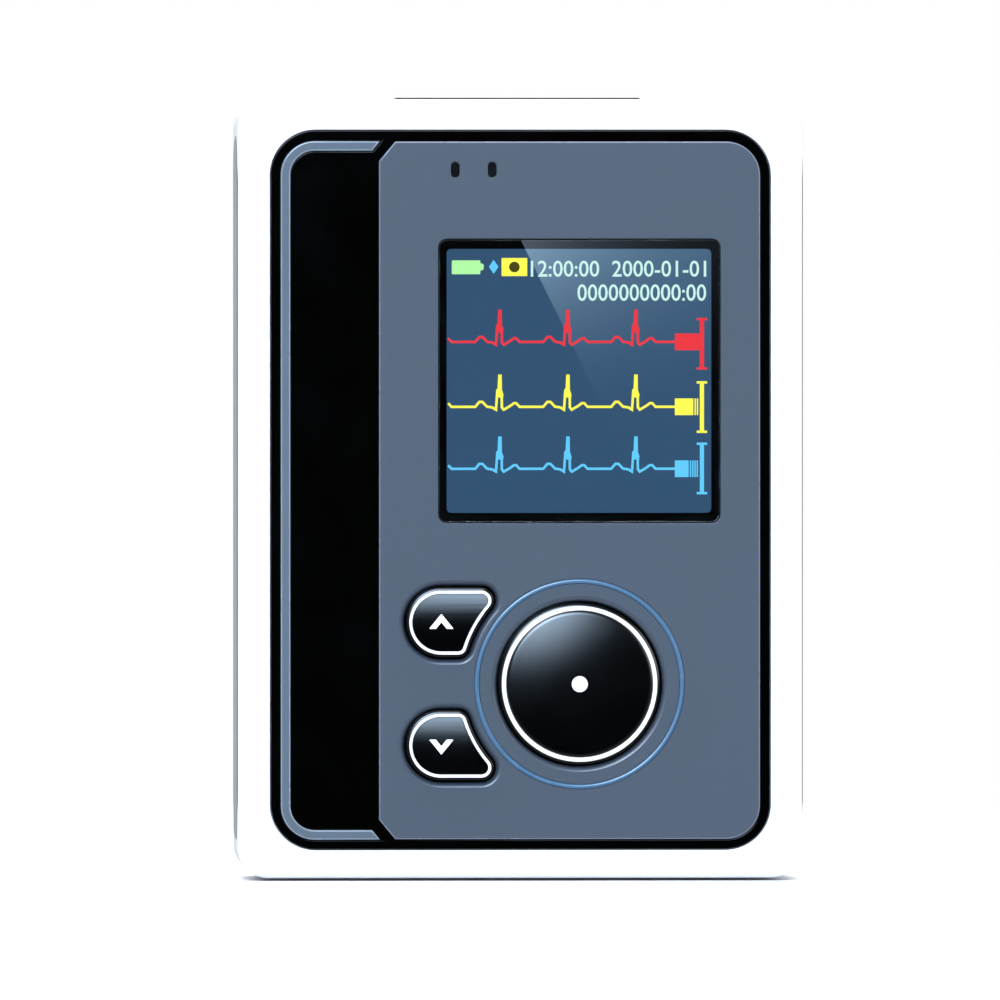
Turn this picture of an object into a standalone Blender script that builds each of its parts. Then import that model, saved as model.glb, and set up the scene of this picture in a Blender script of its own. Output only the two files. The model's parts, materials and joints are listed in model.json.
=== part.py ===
"""A body-worn heart recorder with a square display, three push buttons and a battery door.

All lengths are metres. X runs across the face, the face looks along -Y and Z is up.
The origin is under the middle of the object, at the height of the face that it stands on.
"""

import math

import bmesh
import bpy
from mathutils import Matrix, Vector

# Clearances shared by the whole assembly
SEAT_GAP = 0.0003
INLAY_GAP = 0.00012
OVERRUN = 0.001

# Smoothness of round shapes
CORNER_STEPS = 5
RIM_STEPS = 3
SLOT_STEPS = 6
ROUND_STEPS = 40
SMALL_ROUND_STEPS = 14
COIL_STEPS_PER_TURN = 12
SHARP_ANGLE = math.radians(35.0)
FLAT_ANGLE = math.radians(0.5)

# Face layout, from left to right
FACE_SIDE_MARGIN = 0.00350
BORDER_WIDTH = 0.00100
STRIP_WIDTH = 0.01045
WINDOW_LEFT_MARGIN = 0.00624
WINDOW_WIDTH = 0.02940
WINDOW_RIGHT_MARGIN = 0.00431

# Face layout, from top to bottom
FACE_TOP_MARGIN = 0.00330
WINDOW_TOP_MARGIN = 0.01046
WINDOW_HEIGHT = 0.02961
WINDOW_TO_BUTTON = 0.01701
BUTTON_TO_EDGE = 0.01632
FACE_BOTTOM_MARGIN = 0.00310

# Case shell
CASE_CORNER_RADIUS = 0.0032
CASE_EDGE_RADIUS = 0.0015
WALL = 0.0020
SHELF_THICKNESS = 0.0010
COVER_THICKNESS = 0.0020
COVER_LIP_WIDTH = 0.0012
COVER_LIP_HEIGHT = 0.0020
GASKET_WIDTH = 0.0006
GASKET_HEIGHT = 0.0005

# Soft strips on the long sides
GRIP_THICKNESS = 0.0009
GRIP_PROUD = 0.0002
GRIP_DEPTH = 0.0150
GRIP_FRONT_MARGIN = 0.0012
GRIP_END_MARGIN = 0.0040
GRIP_CORNER_RADIUS = 0.0034

# Face tray, accent trim and panel
TRAY_THICKNESS = 0.0016
TRAY_CORNER_RADIUS = 0.0047
PANEL_THICKNESS = 0.0007
PANEL_PROUD = 0.0001
PANEL_CHAMFER = 0.0021
PANEL_CORNER_RADIUS = 0.0036
TRIM_WIDTH = 0.00095
TRIM_THICKNESS = 0.0005
TRIM_END_SETBACK = 0.0005

# Display
WINDOW_CORNER_RADIUS = 0.0008
GLASS_SIDE_LAP = 0.00105
GLASS_TOP_LAP = 0.00085
GLASS_BOTTOM_LAP = 0.00325
GLASS_THICKNESS = 0.0010
BACKLIGHT_THICKNESS = 0.0012
BACKLIGHT_INSET = 0.0006
CABLE_WIDTH = 0.0100
CABLE_THICKNESS = 0.0002
CABLE_DROP = 0.0026
CABLE_BEND = 0.0007
CONNECTOR_WIDTH = 0.0120
CONNECTOR_HEIGHT = 0.0020
CONNECTOR_THICKNESS = 0.0007

# Buttons
BUTTON_RISE = 0.0011
BUTTON_TRAVEL = 0.0004
BUTTON_RECESS = 0.0005
BUTTON_RIM_WIDTH = 0.00044
BUTTON_RIM_DEPTH = 0.0006
BUTTON_FLANGE_WIDTH = 0.0008
BUTTON_FLANGE_THICKNESS = 0.0006
BUTTON_EDGE_RADIUS = 0.00022
STEM_RADIUS = 0.0013
SWITCH_TRAVEL_SPARE = 0.00015
MAIN_BUTTON_RADIUS = 0.00818
MAIN_DOME_RISE = 0.0004
MAIN_DOT_RADIUS = 0.00088
MARK_DEPTH = 0.0003
SIDE_BUTTON_RADIUS = 0.00336
SIDE_BUTTON_RAISE = 0.00646
SIDE_BUTTON_SETBACK = 0.00204
LONG_CORNER_RADIUS = 0.00105
SHORT_CORNER_RADIUS = 0.00084
CHEVRON_HALF_WIDTH = 0.00128
CHEVRON_HEIGHT = 0.00158
CHEVRON_STROKE = 0.00052
CHEVRON_LIFT = 0.00015
HALO_SPACING = 0.00208
HALO_TO_SIDE_BUTTON = 0.00174
HALO_WIDTH = 0.00047
HALO_THICKNESS = 0.0003

# Switches and indicator lamps on the board
SWITCH_SIDE = 0.0045
SWITCH_BODY_HEIGHT = 0.0005
PLUNGER_RADIUS = 0.0011
PLUNGER_HEIGHT = 0.0003
SLOT_WIDTH = 0.00105
SLOT_HEIGHT = 0.00180
SLOT_PITCH = 0.00388
SLOT_DROP = 0.0031
SLOT_FROM_PANEL_EDGE = 0.0079
LAMP_WIDTH = 0.0008
LAMP_HEIGHT = 0.0016
LAMP_THICKNESS = 0.0005

# Main board and what stands on its back
BOARD_THICKNESS = 0.0010
BOARD_SIDE_GAP = 0.0020
BOARD_CORNER_RADIUS = 0.0010
BOARD_TO_BAY = 0.0004
BOARD_SCREW_INSET = 0.0024
BOARD_SCREW_FROM_BAY = 0.0022
POST_RADIUS = 0.0016
BOARD_SCREW_RADIUS = 0.0007
BOARD_SCREW_HEAD_RADIUS = 0.0014
BOARD_SCREW_HEAD_HEIGHT = 0.0008
BOARD_SCREW_LENGTH = 0.0022
PROCESSOR_SIDE = 0.0100
PROCESSOR_HEIGHT = 0.0012
AMPLIFIER_SIDE = 0.0070
AMPLIFIER_HEIGHT = 0.0009
CAN_SIDE = 0.0150
CAN_HEIGHT = 0.0022
CAN_WALL = 0.0004
RADIO_WIDTH = 0.0120
RADIO_HEIGHT = 0.0160
RADIO_THICKNESS = 0.0018
CARD_WIDTH = 0.0110
CARD_LENGTH = 0.0150
CARD_THICKNESS = 0.0008
CARD_SHOWN = 0.0030
CARD_SOCKET_WALL = 0.0007
PART_SPACING = 0.0040

# Lead socket in the top
SOCKET_WIDTH = 0.0257
SOCKET_DEPTH = 0.0088
SOCKET_HEIGHT = 0.0107
SOCKET_PROUD = 0.0002
SOCKET_WALL = 0.0011
SOCKET_FLOOR = 0.0028
SOCKET_CORNER_RADIUS = 0.0009
CONTACT_COUNT = 8
CONTACT_WIDTH = 0.0011
CONTACT_THICKNESS = 0.0004
CONTACT_LENGTH = 0.0042
CONTACT_BAR_HEIGHT = 0.0012
CONTACT_BAR_DEPTH = 0.0009

# Screws that hold the rear cover
BOSS_INSET = 0.0046
BOSS_RADIUS = 0.0024
SCREW_RADIUS = 0.0009
SCREW_HEAD_RADIUS = 0.0017
SCREW_HEAD_HEIGHT = 0.0010
SCREW_RECESS = 0.0013
SCREW_DRIVE_LENGTH = 0.0024
SCREW_DRIVE_WIDTH = 0.0005
SCREW_DRIVE_DEPTH = 0.0005
INSERT_RADIUS = 0.0016
INSERT_LENGTH = 0.0040

# Cell and its bay
CELL_RADIUS = 0.00525
CELL_LENGTH = 0.0445
CELL_NUB_RADIUS = 0.0019
CELL_NUB_LENGTH = 0.0010
CELL_EDGE_RADIUS = 0.0006
BAY_WALL = 0.0010
BAY_FLOOR = 0.0008
BOSS_TO_BAY = 0.0004
CONTACT_PLATE_THICKNESS = 0.0004
CONTACT_PLATE_SIDE = 0.0076
SPRING_LENGTH = 0.0030
SPRING_WIRE_RADIUS = 0.0003
SPRING_BASE_RADIUS = 0.0038
SPRING_TIP_RADIUS = 0.0018
SPRING_TURNS = 2.5

# Battery door and its hinge
DOOR_THICKNESS = 0.0012
DOOR_MARGIN = 0.0010
DOOR_BOTTOM_LAP = 0.0014
DOOR_BOTTOM_CORNER_RADIUS = 0.0012
BARREL_RADIUS = 0.0013
BARREL_SETBACK = 0.0030
PIN_RADIUS = 0.0006
PIN_BORE_RADIUS = 0.00075
PIN_END = 0.0012
HINGE_BLOCK_WALL = 0.0010
HINGE_SIDE_ROOM = 0.0005
DOOR_SWING_ROOM = 0.0003
PAD_THICKNESS = 0.0005
PAD_WIDTH = 0.0260
PAD_HEIGHT = 0.0070
NOTCH_WIDTH = 0.0120
NOTCH_DEPTH = 0.0005
NOTCH_HEIGHT = 0.0022

# Room across the case for the bay and the hinge block beside it
BAY_INNER_LENGTH = CELL_LENGTH + SPRING_LENGTH + CONTACT_PLATE_THICKNESS + 4 * SEAT_GAP
BAY_INNER_RIGHT = BAY_INNER_LENGTH / 2
HINGE_BLOCK_RIGHT = BAY_INNER_RIGHT + PIN_END + HINGE_BLOCK_WALL

# The halo ring goes round the main button, and the side buttons follow the ring
HALO_RADIUS = MAIN_BUTTON_RADIUS + BUTTON_RECESS + HALO_SPACING
SIDE_BUTTON_SWEEP = HALO_RADIUS + HALO_TO_SIDE_BUTTON
SIDE_BUTTON_REACH = SIDE_BUTTON_SWEEP + SIDE_BUTTON_SETBACK

# Overall width and height follow from what the face carries and what the bay needs
PANEL_WIDTH = WINDOW_LEFT_MARGIN + WINDOW_WIDTH + WINDOW_RIGHT_MARGIN
FIELD_WIDTH = STRIP_WIDTH + PANEL_WIDTH
FIELD_HEIGHT = WINDOW_TOP_MARGIN + WINDOW_HEIGHT + WINDOW_TO_BUTTON + BUTTON_TO_EDGE
CASE_WIDTH = 2 * max(
    FIELD_WIDTH / 2 + BORDER_WIDTH + FACE_SIDE_MARGIN,
    HINGE_BLOCK_RIGHT + HINGE_SIDE_ROOM + WALL,
)
FACE_HEIGHT = FIELD_HEIGHT + 2 * BORDER_WIDTH
CASE_HEIGHT = FACE_HEIGHT + FACE_TOP_MARGIN + FACE_BOTTOM_MARGIN

# Places across and up the face
CASE_RIGHT = CASE_WIDTH / 2
FIELD_RIGHT = FIELD_WIDTH / 2
FIELD_BOTTOM = FACE_BOTTOM_MARGIN + BORDER_WIDTH
FIELD_TOP = FIELD_BOTTOM + FIELD_HEIGHT
PANEL_LEFT = -FIELD_RIGHT + STRIP_WIDTH
WINDOW_LEFT = PANEL_LEFT + WINDOW_LEFT_MARGIN
WINDOW_RIGHT = WINDOW_LEFT + WINDOW_WIDTH
WINDOW_TOP = FIELD_TOP - WINDOW_TOP_MARGIN
WINDOW_BOTTOM = WINDOW_TOP - WINDOW_HEIGHT
CONTROL_X = (WINDOW_LEFT + WINDOW_RIGHT) / 2
MAIN_Z = FIELD_BOTTOM + BUTTON_TO_EDGE
SIDE_BUTTON_X = CONTROL_X - SIDE_BUTTON_REACH
SLOT_Z = FIELD_TOP - SLOT_DROP
SLOT_XS = [PANEL_LEFT + SLOT_FROM_PANEL_EDGE + n * SLOT_PITCH for n in range(2)]

# Depth of the stack, from the front face back
BOARD_STACK = TRAY_THICKNESS + GLASS_THICKNESS + BACKLIGHT_THICKNESS + 3 * SEAT_GAP
BAY_STACK = BOARD_THICKNESS + BOARD_TO_BAY + BAY_FLOOR + SEAT_GAP + 2 * CELL_RADIUS
DOOR_STACK = SEAT_GAP + PAD_THICKNESS + SEAT_GAP + DOOR_THICKNESS
CASE_DEPTH = BOARD_STACK + BAY_STACK + DOOR_STACK
FRONT_REACH = PANEL_PROUD + BUTTON_RISE

# Places through the depth, with the origin midway between button tops and back
FRONT_Y = (FRONT_REACH - CASE_DEPTH) / 2
BACK_Y = FRONT_Y + CASE_DEPTH
PANEL_FRONT_Y = FRONT_Y - PANEL_PROUD
PANEL_BACK_Y = PANEL_FRONT_Y + PANEL_THICKNESS
TRAY_BACK_Y = FRONT_Y + TRAY_THICKNESS
SHELF_FRONT_Y = TRAY_BACK_Y + SEAT_GAP
SHELF_BACK_Y = SHELF_FRONT_Y + SHELF_THICKNESS
GLASS_BACK_Y = SHELF_FRONT_Y + GLASS_THICKNESS
BACKLIGHT_FRONT_Y = GLASS_BACK_Y + SEAT_GAP
BACKLIGHT_BACK_Y = BACKLIGHT_FRONT_Y + BACKLIGHT_THICKNESS
BOARD_FRONT_Y = BACKLIGHT_BACK_Y + SEAT_GAP
BOARD_BACK_Y = BOARD_FRONT_Y + BOARD_THICKNESS
BAY_FRONT_Y = BOARD_BACK_Y + BOARD_TO_BAY
BAY_INNER_Y = BAY_FRONT_Y + BAY_FLOOR
CELL_Y = BAY_INNER_Y + SEAT_GAP + CELL_RADIUS
PARTS_Y = BOARD_BACK_Y + SEAT_GAP
COVER_FRONT_Y = BACK_Y - COVER_THICKNESS
HOUSING_BACK_Y = COVER_FRONT_Y - SEAT_GAP
LIP_FRONT_Y = COVER_FRONT_Y - COVER_LIP_HEIGHT
DOOR_FRONT_Y = BACK_Y - DOOR_THICKNESS
HINGE_Y = BACK_Y - BARREL_RADIUS

SCREW_LENGTH = BACK_Y - SCREW_RECESS - LIP_FRONT_Y + INSERT_LENGTH

# Bay and board, up the case
BAY_BOTTOM = BOSS_INSET + BOSS_RADIUS + BOSS_TO_BAY
BAY_INNER_BOTTOM = BAY_BOTTOM + BAY_WALL
CELL_Z = BAY_INNER_BOTTOM + SEAT_GAP + CELL_RADIUS
BAY_INNER_TOP = CELL_Z + CELL_RADIUS + SEAT_GAP
BAY_TOP = BAY_INNER_TOP + BAY_WALL
BOARD_BOTTOM = BAY_BOTTOM
BOARD_TOP = CASE_HEIGHT - BOSS_INSET - BOSS_RADIUS - BOSS_TO_BAY
BOARD_RIGHT = CASE_RIGHT - WALL - BOARD_SIDE_GAP
CELL_LEFT = -BAY_INNER_RIGHT + SPRING_LENGTH + 2 * SEAT_GAP
CELL_RIGHT = CELL_LEFT + CELL_LENGTH
DOOR_OPENING_RIGHT = BAY_INNER_RIGHT - DOOR_MARGIN
DOOR_RIGHT = BAY_INNER_RIGHT
DOOR_BOTTOM = BAY_INNER_BOTTOM - DOOR_BOTTOM_LAP
HINGE_Z = BAY_INNER_TOP + BARREL_SETBACK
BOSS_PLACES = [
    (side * (CASE_RIGHT - BOSS_INSET), height)
    for height in (BOSS_INSET, CASE_HEIGHT - BOSS_INSET)
    for side in (-1, 1)
]
POST_PLACES = [
    (side * (BOARD_RIGHT - BOARD_SCREW_INSET), height)
    for height in (BAY_TOP + BOARD_SCREW_FROM_BAY, BOARD_TOP - BOARD_SCREW_INSET)
    for side in (-1, 1)
]

# Turns that point a turned shape's own +Z somewhere else
TO_FRONT = (math.pi / 2, 0.0, 0.0)
TO_BACK = (-math.pi / 2, 0.0, 0.0)
TO_RIGHT = (0.0, math.pi / 2, 0.0)
UPRIGHT = (0.0, 0.0, 0.0)

# Colours as red, green and blue, then roughness and metallic value
FINISHES = {
    "white_shell": ((0.86, 0.86, 0.88), 0.42, 0.0),
    "soft_grey": ((0.35, 0.36, 0.40), 0.75, 0.0),
    "gloss_black": ((0.004, 0.004, 0.005), 0.12, 0.0),
    "socket_black": ((0.02, 0.02, 0.022), 0.45, 0.0),
    "trim_blue": ((0.17, 0.22, 0.32), 0.35, 0.2),
    "panel_blue": ((0.10, 0.14, 0.21), 0.38, 0.3),
    "halo_blue": ((0.12, 0.37, 0.70), 0.30, 0.0),
    "window_clear": ((0.05, 0.07, 0.09), 0.05, 0.0),
    "display_dark": ((0.03, 0.09, 0.16), 0.30, 0.0),
    "bright_rim": ((0.85, 0.87, 0.90), 0.18, 0.4),
    "white_mark": ((0.90, 0.90, 0.90), 0.40, 0.0),
    "board_green": ((0.02, 0.16, 0.07), 0.45, 0.0),
    "chip_black": ((0.02, 0.02, 0.02), 0.55, 0.0),
    "tin": ((0.70, 0.71, 0.72), 0.32, 1.0),
    "steel": ((0.55, 0.56, 0.58), 0.28, 1.0),
    "gold": ((0.85, 0.63, 0.26), 0.25, 1.0),
    "brass": ((0.75, 0.57, 0.25), 0.35, 1.0),
    "rubber_grey": ((0.18, 0.18, 0.19), 0.80, 0.0),
    "foam_black": ((0.03, 0.03, 0.03), 0.95, 0.0),
    "cell_wrap": ((0.10, 0.22, 0.42), 0.35, 0.3),
    "polyimide": ((0.55, 0.24, 0.05), 0.35, 0.0),
}


def clear_scene():
    """Empties the scene, so that the model stands alone in it."""
    for old in list(bpy.data.objects):
        bpy.data.objects.remove(old, do_unlink=True)


def add_collection(name):
    """A new collection under the scene's own."""
    collection = bpy.data.collections.new(name)
    bpy.context.scene.collection.children.link(collection)
    return collection


clear_scene()
PARTS = add_collection("heart_recorder")
CUTTERS = add_collection("cutters")
CUTTERS.hide_render = True


def finish_material(name):
    """The Principled material of one finish, made once and shared."""
    material = bpy.data.materials.get(name)
    if material is None:
        colour, roughness, metallic = FINISHES[name]
        material = bpy.data.materials.new(name)
        material.use_nodes = True
        shader = material.node_tree.nodes["Principled BSDF"]
        shader.inputs["Base Color"].default_value = (*colour, 1.0)
        shader.inputs["Roughness"].default_value = roughness
        shader.inputs["Metallic"].default_value = metallic
    return material


def add_object(name, mesh, place, turn, finish):
    """A named object that holds a mesh: a part when it has a finish, or else a cutter."""
    made = bpy.data.objects.new(name, mesh)
    made.location = place
    made.rotation_euler = turn
    if finish is None:
        CUTTERS.objects.link(made)
        made.hide_render = True
        made.display_type = "WIRE"
    else:
        PARTS.objects.link(made)
        mesh.materials.append(finish_material(finish))
        mesh.shade_smooth()
        mesh.set_sharp_from_angle(angle=SHARP_ANGLE)
    return made


def rim_edges(shape, side):
    """The edges of a mesh that lie in its outermost plane on one side."""
    reach = max(vert.co.dot(side) for vert in shape.verts)
    near = OVERRUN * OVERRUN
    return [
        edge
        for edge in shape.edges
        if all(abs(vert.co.dot(side) - reach) < near for vert in edge.verts)
        and edge.calc_face_angle(0.0) > SHARP_ANGLE
    ]


def round_edges(shape, edges, radius, steps):
    """Rounds the given edges of a mesh."""
    bmesh.ops.bevel(
        shape,
        geom=edges,
        offset=radius,
        offset_type="OFFSET",
        segments=steps,
        profile=0.5,
        affect="EDGES",
        clamp_overlap=True,
    )


def box(name, low, high, finish=None, corner=0.0, along=(0, 1, 0), rim=0.0, rim_sides=()):
    """A box from one corner to the other, with round corners along one axis and round rims."""
    low, high, along = Vector(low), Vector(high), Vector(along)
    shape = bmesh.new()
    bmesh.ops.create_cube(shape, size=1)
    bmesh.ops.scale(shape, vec=high - low, verts=shape.verts)
    if corner > 0:
        edges = [
            edge
            for edge in shape.edges
            if abs((edge.verts[0].co - edge.verts[1].co).normalized().dot(along)) > 0.5
        ]
        round_edges(shape, edges, corner, CORNER_STEPS)
    for side in rim_sides:
        round_edges(shape, rim_edges(shape, Vector(side)), rim, RIM_STEPS)
    mesh = bpy.data.meshes.new(name)
    shape.to_mesh(mesh)
    shape.free()
    return add_object(name, mesh, (low + high) / 2, UPRIGHT, finish)


def turned(name, profile, place, turn, finish=None, steps=ROUND_STEPS, closed=False):
    """A turned shape from (radius, height) points, which run down its outer side."""
    mesh = bpy.data.meshes.new(name)
    ends = [(n, n + 1) for n in range(len(profile) - 1)]
    if closed:
        ends.append((len(profile) - 1, 0))
    mesh.from_pydata([(radius, 0.0, height) for radius, height in profile], ends, [])
    made = add_object(name, mesh, place, turn, finish)
    screw = made.modifiers.new("turn", "SCREW")
    screw.axis = "Z"
    screw.steps = steps
    screw.render_steps = steps
    screw.use_merge_vertices = True
    screw.merge_threshold = OVERRUN / 100
    screw.use_smooth_shade = True
    return made


def rod(name, place, turn, radius, length, finish=None, steps=SMALL_ROUND_STEPS):
    """A plain round rod that runs from its place along its own +Z."""
    shape = bmesh.new()
    bmesh.ops.create_cone(
        shape, cap_ends=True, segments=steps, radius1=radius, radius2=radius, depth=length
    )
    bmesh.ops.translate(shape, vec=(0.0, 0.0, length / 2), verts=shape.verts)
    mesh = bpy.data.meshes.new(name)
    shape.to_mesh(mesh)
    shape.free()
    return add_object(name, mesh, place, turn, finish)


def as_mesh(name, curve, place, turn, rim=0.0):
    """The closed mesh of a curve, with its caps welded and its front rim rounded."""
    guide = bpy.data.objects.new(name + "_guide", curve)
    guide.location = place
    guide.rotation_euler = turn
    CUTTERS.objects.link(guide)
    bpy.context.view_layer.update()
    graph = bpy.context.evaluated_depsgraph_get()
    mesh = bpy.data.meshes.new_from_object(guide.evaluated_get(graph))
    shape = bmesh.new()
    shape.from_mesh(mesh)
    bmesh.ops.remove_doubles(shape, verts=shape.verts, dist=OVERRUN / 1000)
    bmesh.ops.transform(shape, matrix=guide.matrix_world, verts=shape.verts)
    bmesh.ops.recalc_face_normals(shape, faces=shape.faces)
    if rim > 0:
        bmesh.ops.dissolve_limit(
            shape, angle_limit=FLAT_ANGLE, verts=shape.verts, edges=shape.edges
        )
        round_edges(shape, rim_edges(shape, Vector((0, -1, 0))), rim, RIM_STEPS)
    shape.to_mesh(mesh)
    shape.free()
    mesh.name = name
    mesh.materials.clear()
    bpy.data.objects.remove(guide, do_unlink=True)
    bpy.data.curves.remove(curve)
    return mesh


def plate(name, outlines, front, back, finish=None, rim=0.0, place=(0.0, 0.0, 0.0)):
    """A flat plate in the XZ plane: the first outline is its edge, and the others are holes.

    The outlines and the two depths are measured from the plate's place.
    """
    curve = bpy.data.curves.new(name, "CURVE")
    curve.dimensions = "2D"
    curve.fill_mode = "BOTH"
    curve.extrude = (back - front) / 2
    for outline in outlines:
        spline = curve.splines.new("POLY")
        spline.points.add(len(outline) - 1)
        for point, (across, up) in zip(spline.points, outline):
            point.co = (across, up, 0.0, 1.0)
        spline.use_cyclic_u = True
    mesh = as_mesh(name, curve, (0.0, (front + back) / 2, 0.0), TO_FRONT, rim)
    return add_object(name, mesh, place, UPRIGHT, finish)


def side_plate(name, outline, left, right, finish=None):
    """A plate whose outline lies in the YZ plane."""
    curve = bpy.data.curves.new(name, "CURVE")
    curve.dimensions = "2D"
    curve.fill_mode = "BOTH"
    curve.extrude = (right - left) / 2
    spline = curve.splines.new("POLY")
    spline.points.add(len(outline) - 1)
    for point, (depth, up) in zip(spline.points, outline):
        point.co = (depth, up, 0.0, 1.0)
    spline.use_cyclic_u = True
    turn = (math.pi / 2, 0.0, math.pi / 2)
    mesh = as_mesh(name, curve, ((left + right) / 2, 0.0, 0.0), turn)
    return add_object(name, mesh, (0.0, 0.0, 0.0), UPRIGHT, finish)


def combine(target, tool, operation):
    """Cuts a tool from a target, or joins it on, and puts the tool among the cutters."""
    if tool.name in PARTS.objects:
        PARTS.objects.unlink(tool)
        CUTTERS.objects.link(tool)
    tool.hide_render = True
    tool.display_type = "WIRE"
    step = target.modifiers.new(tool.name, "BOOLEAN")
    step.operation = operation
    step.object = tool


def cut(target, *tools):
    """Takes each tool's shape out of the target."""
    for tool in tools:
        combine(target, tool, "DIFFERENCE")


def join(target, *tools):
    """Makes each tool's shape part of the target."""
    for tool in tools:
        combine(target, tool, "UNION")


def arc(centre, radius, start, end, steps=CORNER_STEPS):
    """Points on a circle from one angle to another, both in degrees."""
    angles = [math.radians(start + (end - start) * n / steps) for n in range(steps + 1)]
    return [
        (centre[0] + radius * math.cos(angle), centre[1] + radius * math.sin(angle))
        for angle in angles
    ]


def rounded_outline(left, right, bottom, top, radius):
    """A rectangle with round corners."""
    return (
        arc((right - radius, top - radius), radius, 90, 0)
        + arc((right - radius, bottom + radius), radius, 0, -90)
        + arc((left + radius, bottom + radius), radius, -90, -180)
        + arc((left + radius, top - radius), radius, 180, 90)
    )


def circle_outline(across, up, radius, steps=ROUND_STEPS):
    """A full circle, its last point left off."""
    return arc((across, up), radius, 0, 360, steps)[:-1]


def panel_outline(grow):
    """The face panel: chamfered corners at the left and round ones at the right."""
    left, right = PANEL_LEFT - grow, FIELD_RIGHT - INLAY_GAP + grow
    bottom, top = FIELD_BOTTOM + INLAY_GAP - grow, FIELD_TOP - INLAY_GAP + grow
    radius = PANEL_CORNER_RADIUS + grow
    return (
        [(left + PANEL_CHAMFER, top)]
        + arc((right - radius, top - radius), radius, 90, 0)
        + arc((right - radius, bottom + radius), radius, 0, -90)
        + [(left + PANEL_CHAMFER, bottom)]
        + [(left, bottom + PANEL_CHAMFER), (left, top - PANEL_CHAMFER)]
    )


def trim_outline(grow):
    """The C-shaped trim: two concentric corners, and ends cut at 45 degrees."""
    left = -FIELD_RIGHT + INLAY_GAP - grow
    bottom, top = FIELD_BOTTOM + INLAY_GAP - grow, FIELD_TOP - INLAY_GAP + grow
    width = TRIM_WIDTH + 2 * grow
    outer = TRAY_CORNER_RADIUS - BORDER_WIDTH - INLAY_GAP + grow
    inner = outer - width
    end = PANEL_LEFT - TRIM_END_SETBACK + grow
    upper, lower = (left + outer, top - outer), (left + outer, bottom + outer)
    return (
        [(end + width, top)]
        + [(end, top - width)]
        + arc(upper, inner, 90, 180)
        + arc(lower, inner, 180, 270)
        + [(end, bottom + width), (end + width, bottom)]
        + arc(lower, outer, 270, 180)
        + arc(upper, outer, 180, 90)
    )


def side_button_place(side):
    """The centre of the side button above (1) or below (-1) the main one."""
    return (SIDE_BUTTON_X, 0.0, MAIN_Z + side * SIDE_BUTTON_RAISE)


def moved(outline, place):
    """An outline that was drawn about zero, moved to its place on the face."""
    return [(across + place[0], up + place[2]) for across, up in outline]


def side_button_outline(side, grow):
    """A side button drawn about its own centre; its long edge follows the halo ring."""
    radius = SIDE_BUTTON_RADIUS + grow
    sweep = SIDE_BUTTON_SWEEP - grow
    long_radius, short_radius = LONG_CORNER_RADIUS + grow, SHORT_CORNER_RADIUS + grow
    long_up = SIDE_BUTTON_RAISE + radius - long_radius
    short_up = SIDE_BUTTON_RAISE - radius + short_radius
    long_angle = 180 - math.degrees(math.asin(long_up / (sweep + long_radius)))
    short_angle = 180 - math.degrees(math.asin(short_up / (sweep + short_radius)))
    main = (SIDE_BUTTON_REACH, -SIDE_BUTTON_RAISE)
    long_centre = arc(main, sweep + long_radius, long_angle, long_angle, 1)[0]
    short_centre = arc(main, sweep + short_radius, short_angle, short_angle, 1)[0]
    points = (
        arc(long_centre, long_radius, 90, long_angle - 180)
        + arc(main, sweep, long_angle, short_angle, 2 * CORNER_STEPS)[1:-1]
        + arc(short_centre, short_radius, short_angle - 180, -90)
        + arc((0.0, 0.0), radius, -90, -270, 3 * CORNER_STEPS)
    )
    return [(across, side * up) for across, up in points]


def chevron_outline(side, grow):
    """An arrow mark of two strokes, pointing up (1) or down (-1), about a button's centre."""
    half, height = CHEVRON_HALF_WIDTH, CHEVRON_HEIGHT
    stroke = CHEVRON_STROKE
    slope = math.atan2(height, half)
    across = stroke / 2 / math.sin(slope)
    above = stroke / 2 / math.cos(slope)
    reach = grow / math.sin(slope)
    lift = grow / math.cos(slope)
    low = CHEVRON_LIFT - height / 2
    points = [
        (0.0, low + height + above + lift),
        (half + across + reach, low - grow),
        (half - across - reach, low - grow),
        (0.0, low + height - above - lift),
        (-half + across + reach, low - grow),
        (-half - across - reach, low - grow),
    ]
    return [(x, side * up) for x, up in points]


def slot_outline(across, grow):
    """An upright slot with round ends, for one indicator."""
    radius = SLOT_WIDTH / 2 + grow
    rise = (SLOT_HEIGHT - SLOT_WIDTH) / 2
    return arc((across, SLOT_Z + rise), radius, 180, 0, SLOT_STEPS) + arc(
        (across, SLOT_Z - rise), radius, 0, -180, SLOT_STEPS
    )


def window_outline(grow):
    """The display window."""
    return rounded_outline(
        WINDOW_LEFT - grow,
        WINDOW_RIGHT + grow,
        WINDOW_BOTTOM - grow,
        WINDOW_TOP + grow,
        WINDOW_CORNER_RADIUS + grow,
    )


def case_outline(inset):
    """The case seen from the front, drawn in by an inset."""
    return rounded_outline(
        -CASE_RIGHT + inset,
        CASE_RIGHT - inset,
        inset,
        CASE_HEIGHT - inset,
        max(CASE_CORNER_RADIUS - inset, WALL / 2),
    )


def grip_box(name, side, gap, finish=None):
    """One soft side strip, or with a gap the recess that it lies in."""
    outer = CASE_RIGHT + GRIP_PROUD
    inner = outer - GRIP_THICKNESS
    reach = outer + (OVERRUN if finish is None else 0.0)
    depth = SEAT_GAP if finish is None else 0.0
    low = (inner - depth, FRONT_Y + GRIP_FRONT_MARGIN - gap, GRIP_END_MARGIN - gap)
    high = (
        reach,
        FRONT_Y + GRIP_FRONT_MARGIN + GRIP_DEPTH + gap,
        CASE_HEIGHT - GRIP_END_MARGIN + gap,
    )
    if side < 0:
        low, high = (-high[0], *low[1:]), (-low[0], *high[1:])
    return box(
        name,
        low,
        high,
        finish,
        corner=GRIP_CORNER_RADIUS + gap,
        along=(1, 0, 0),
        rim=GRIP_PROUD,
        rim_sides=[] if finish is None else [(side, 0, 0)],
    )


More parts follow.
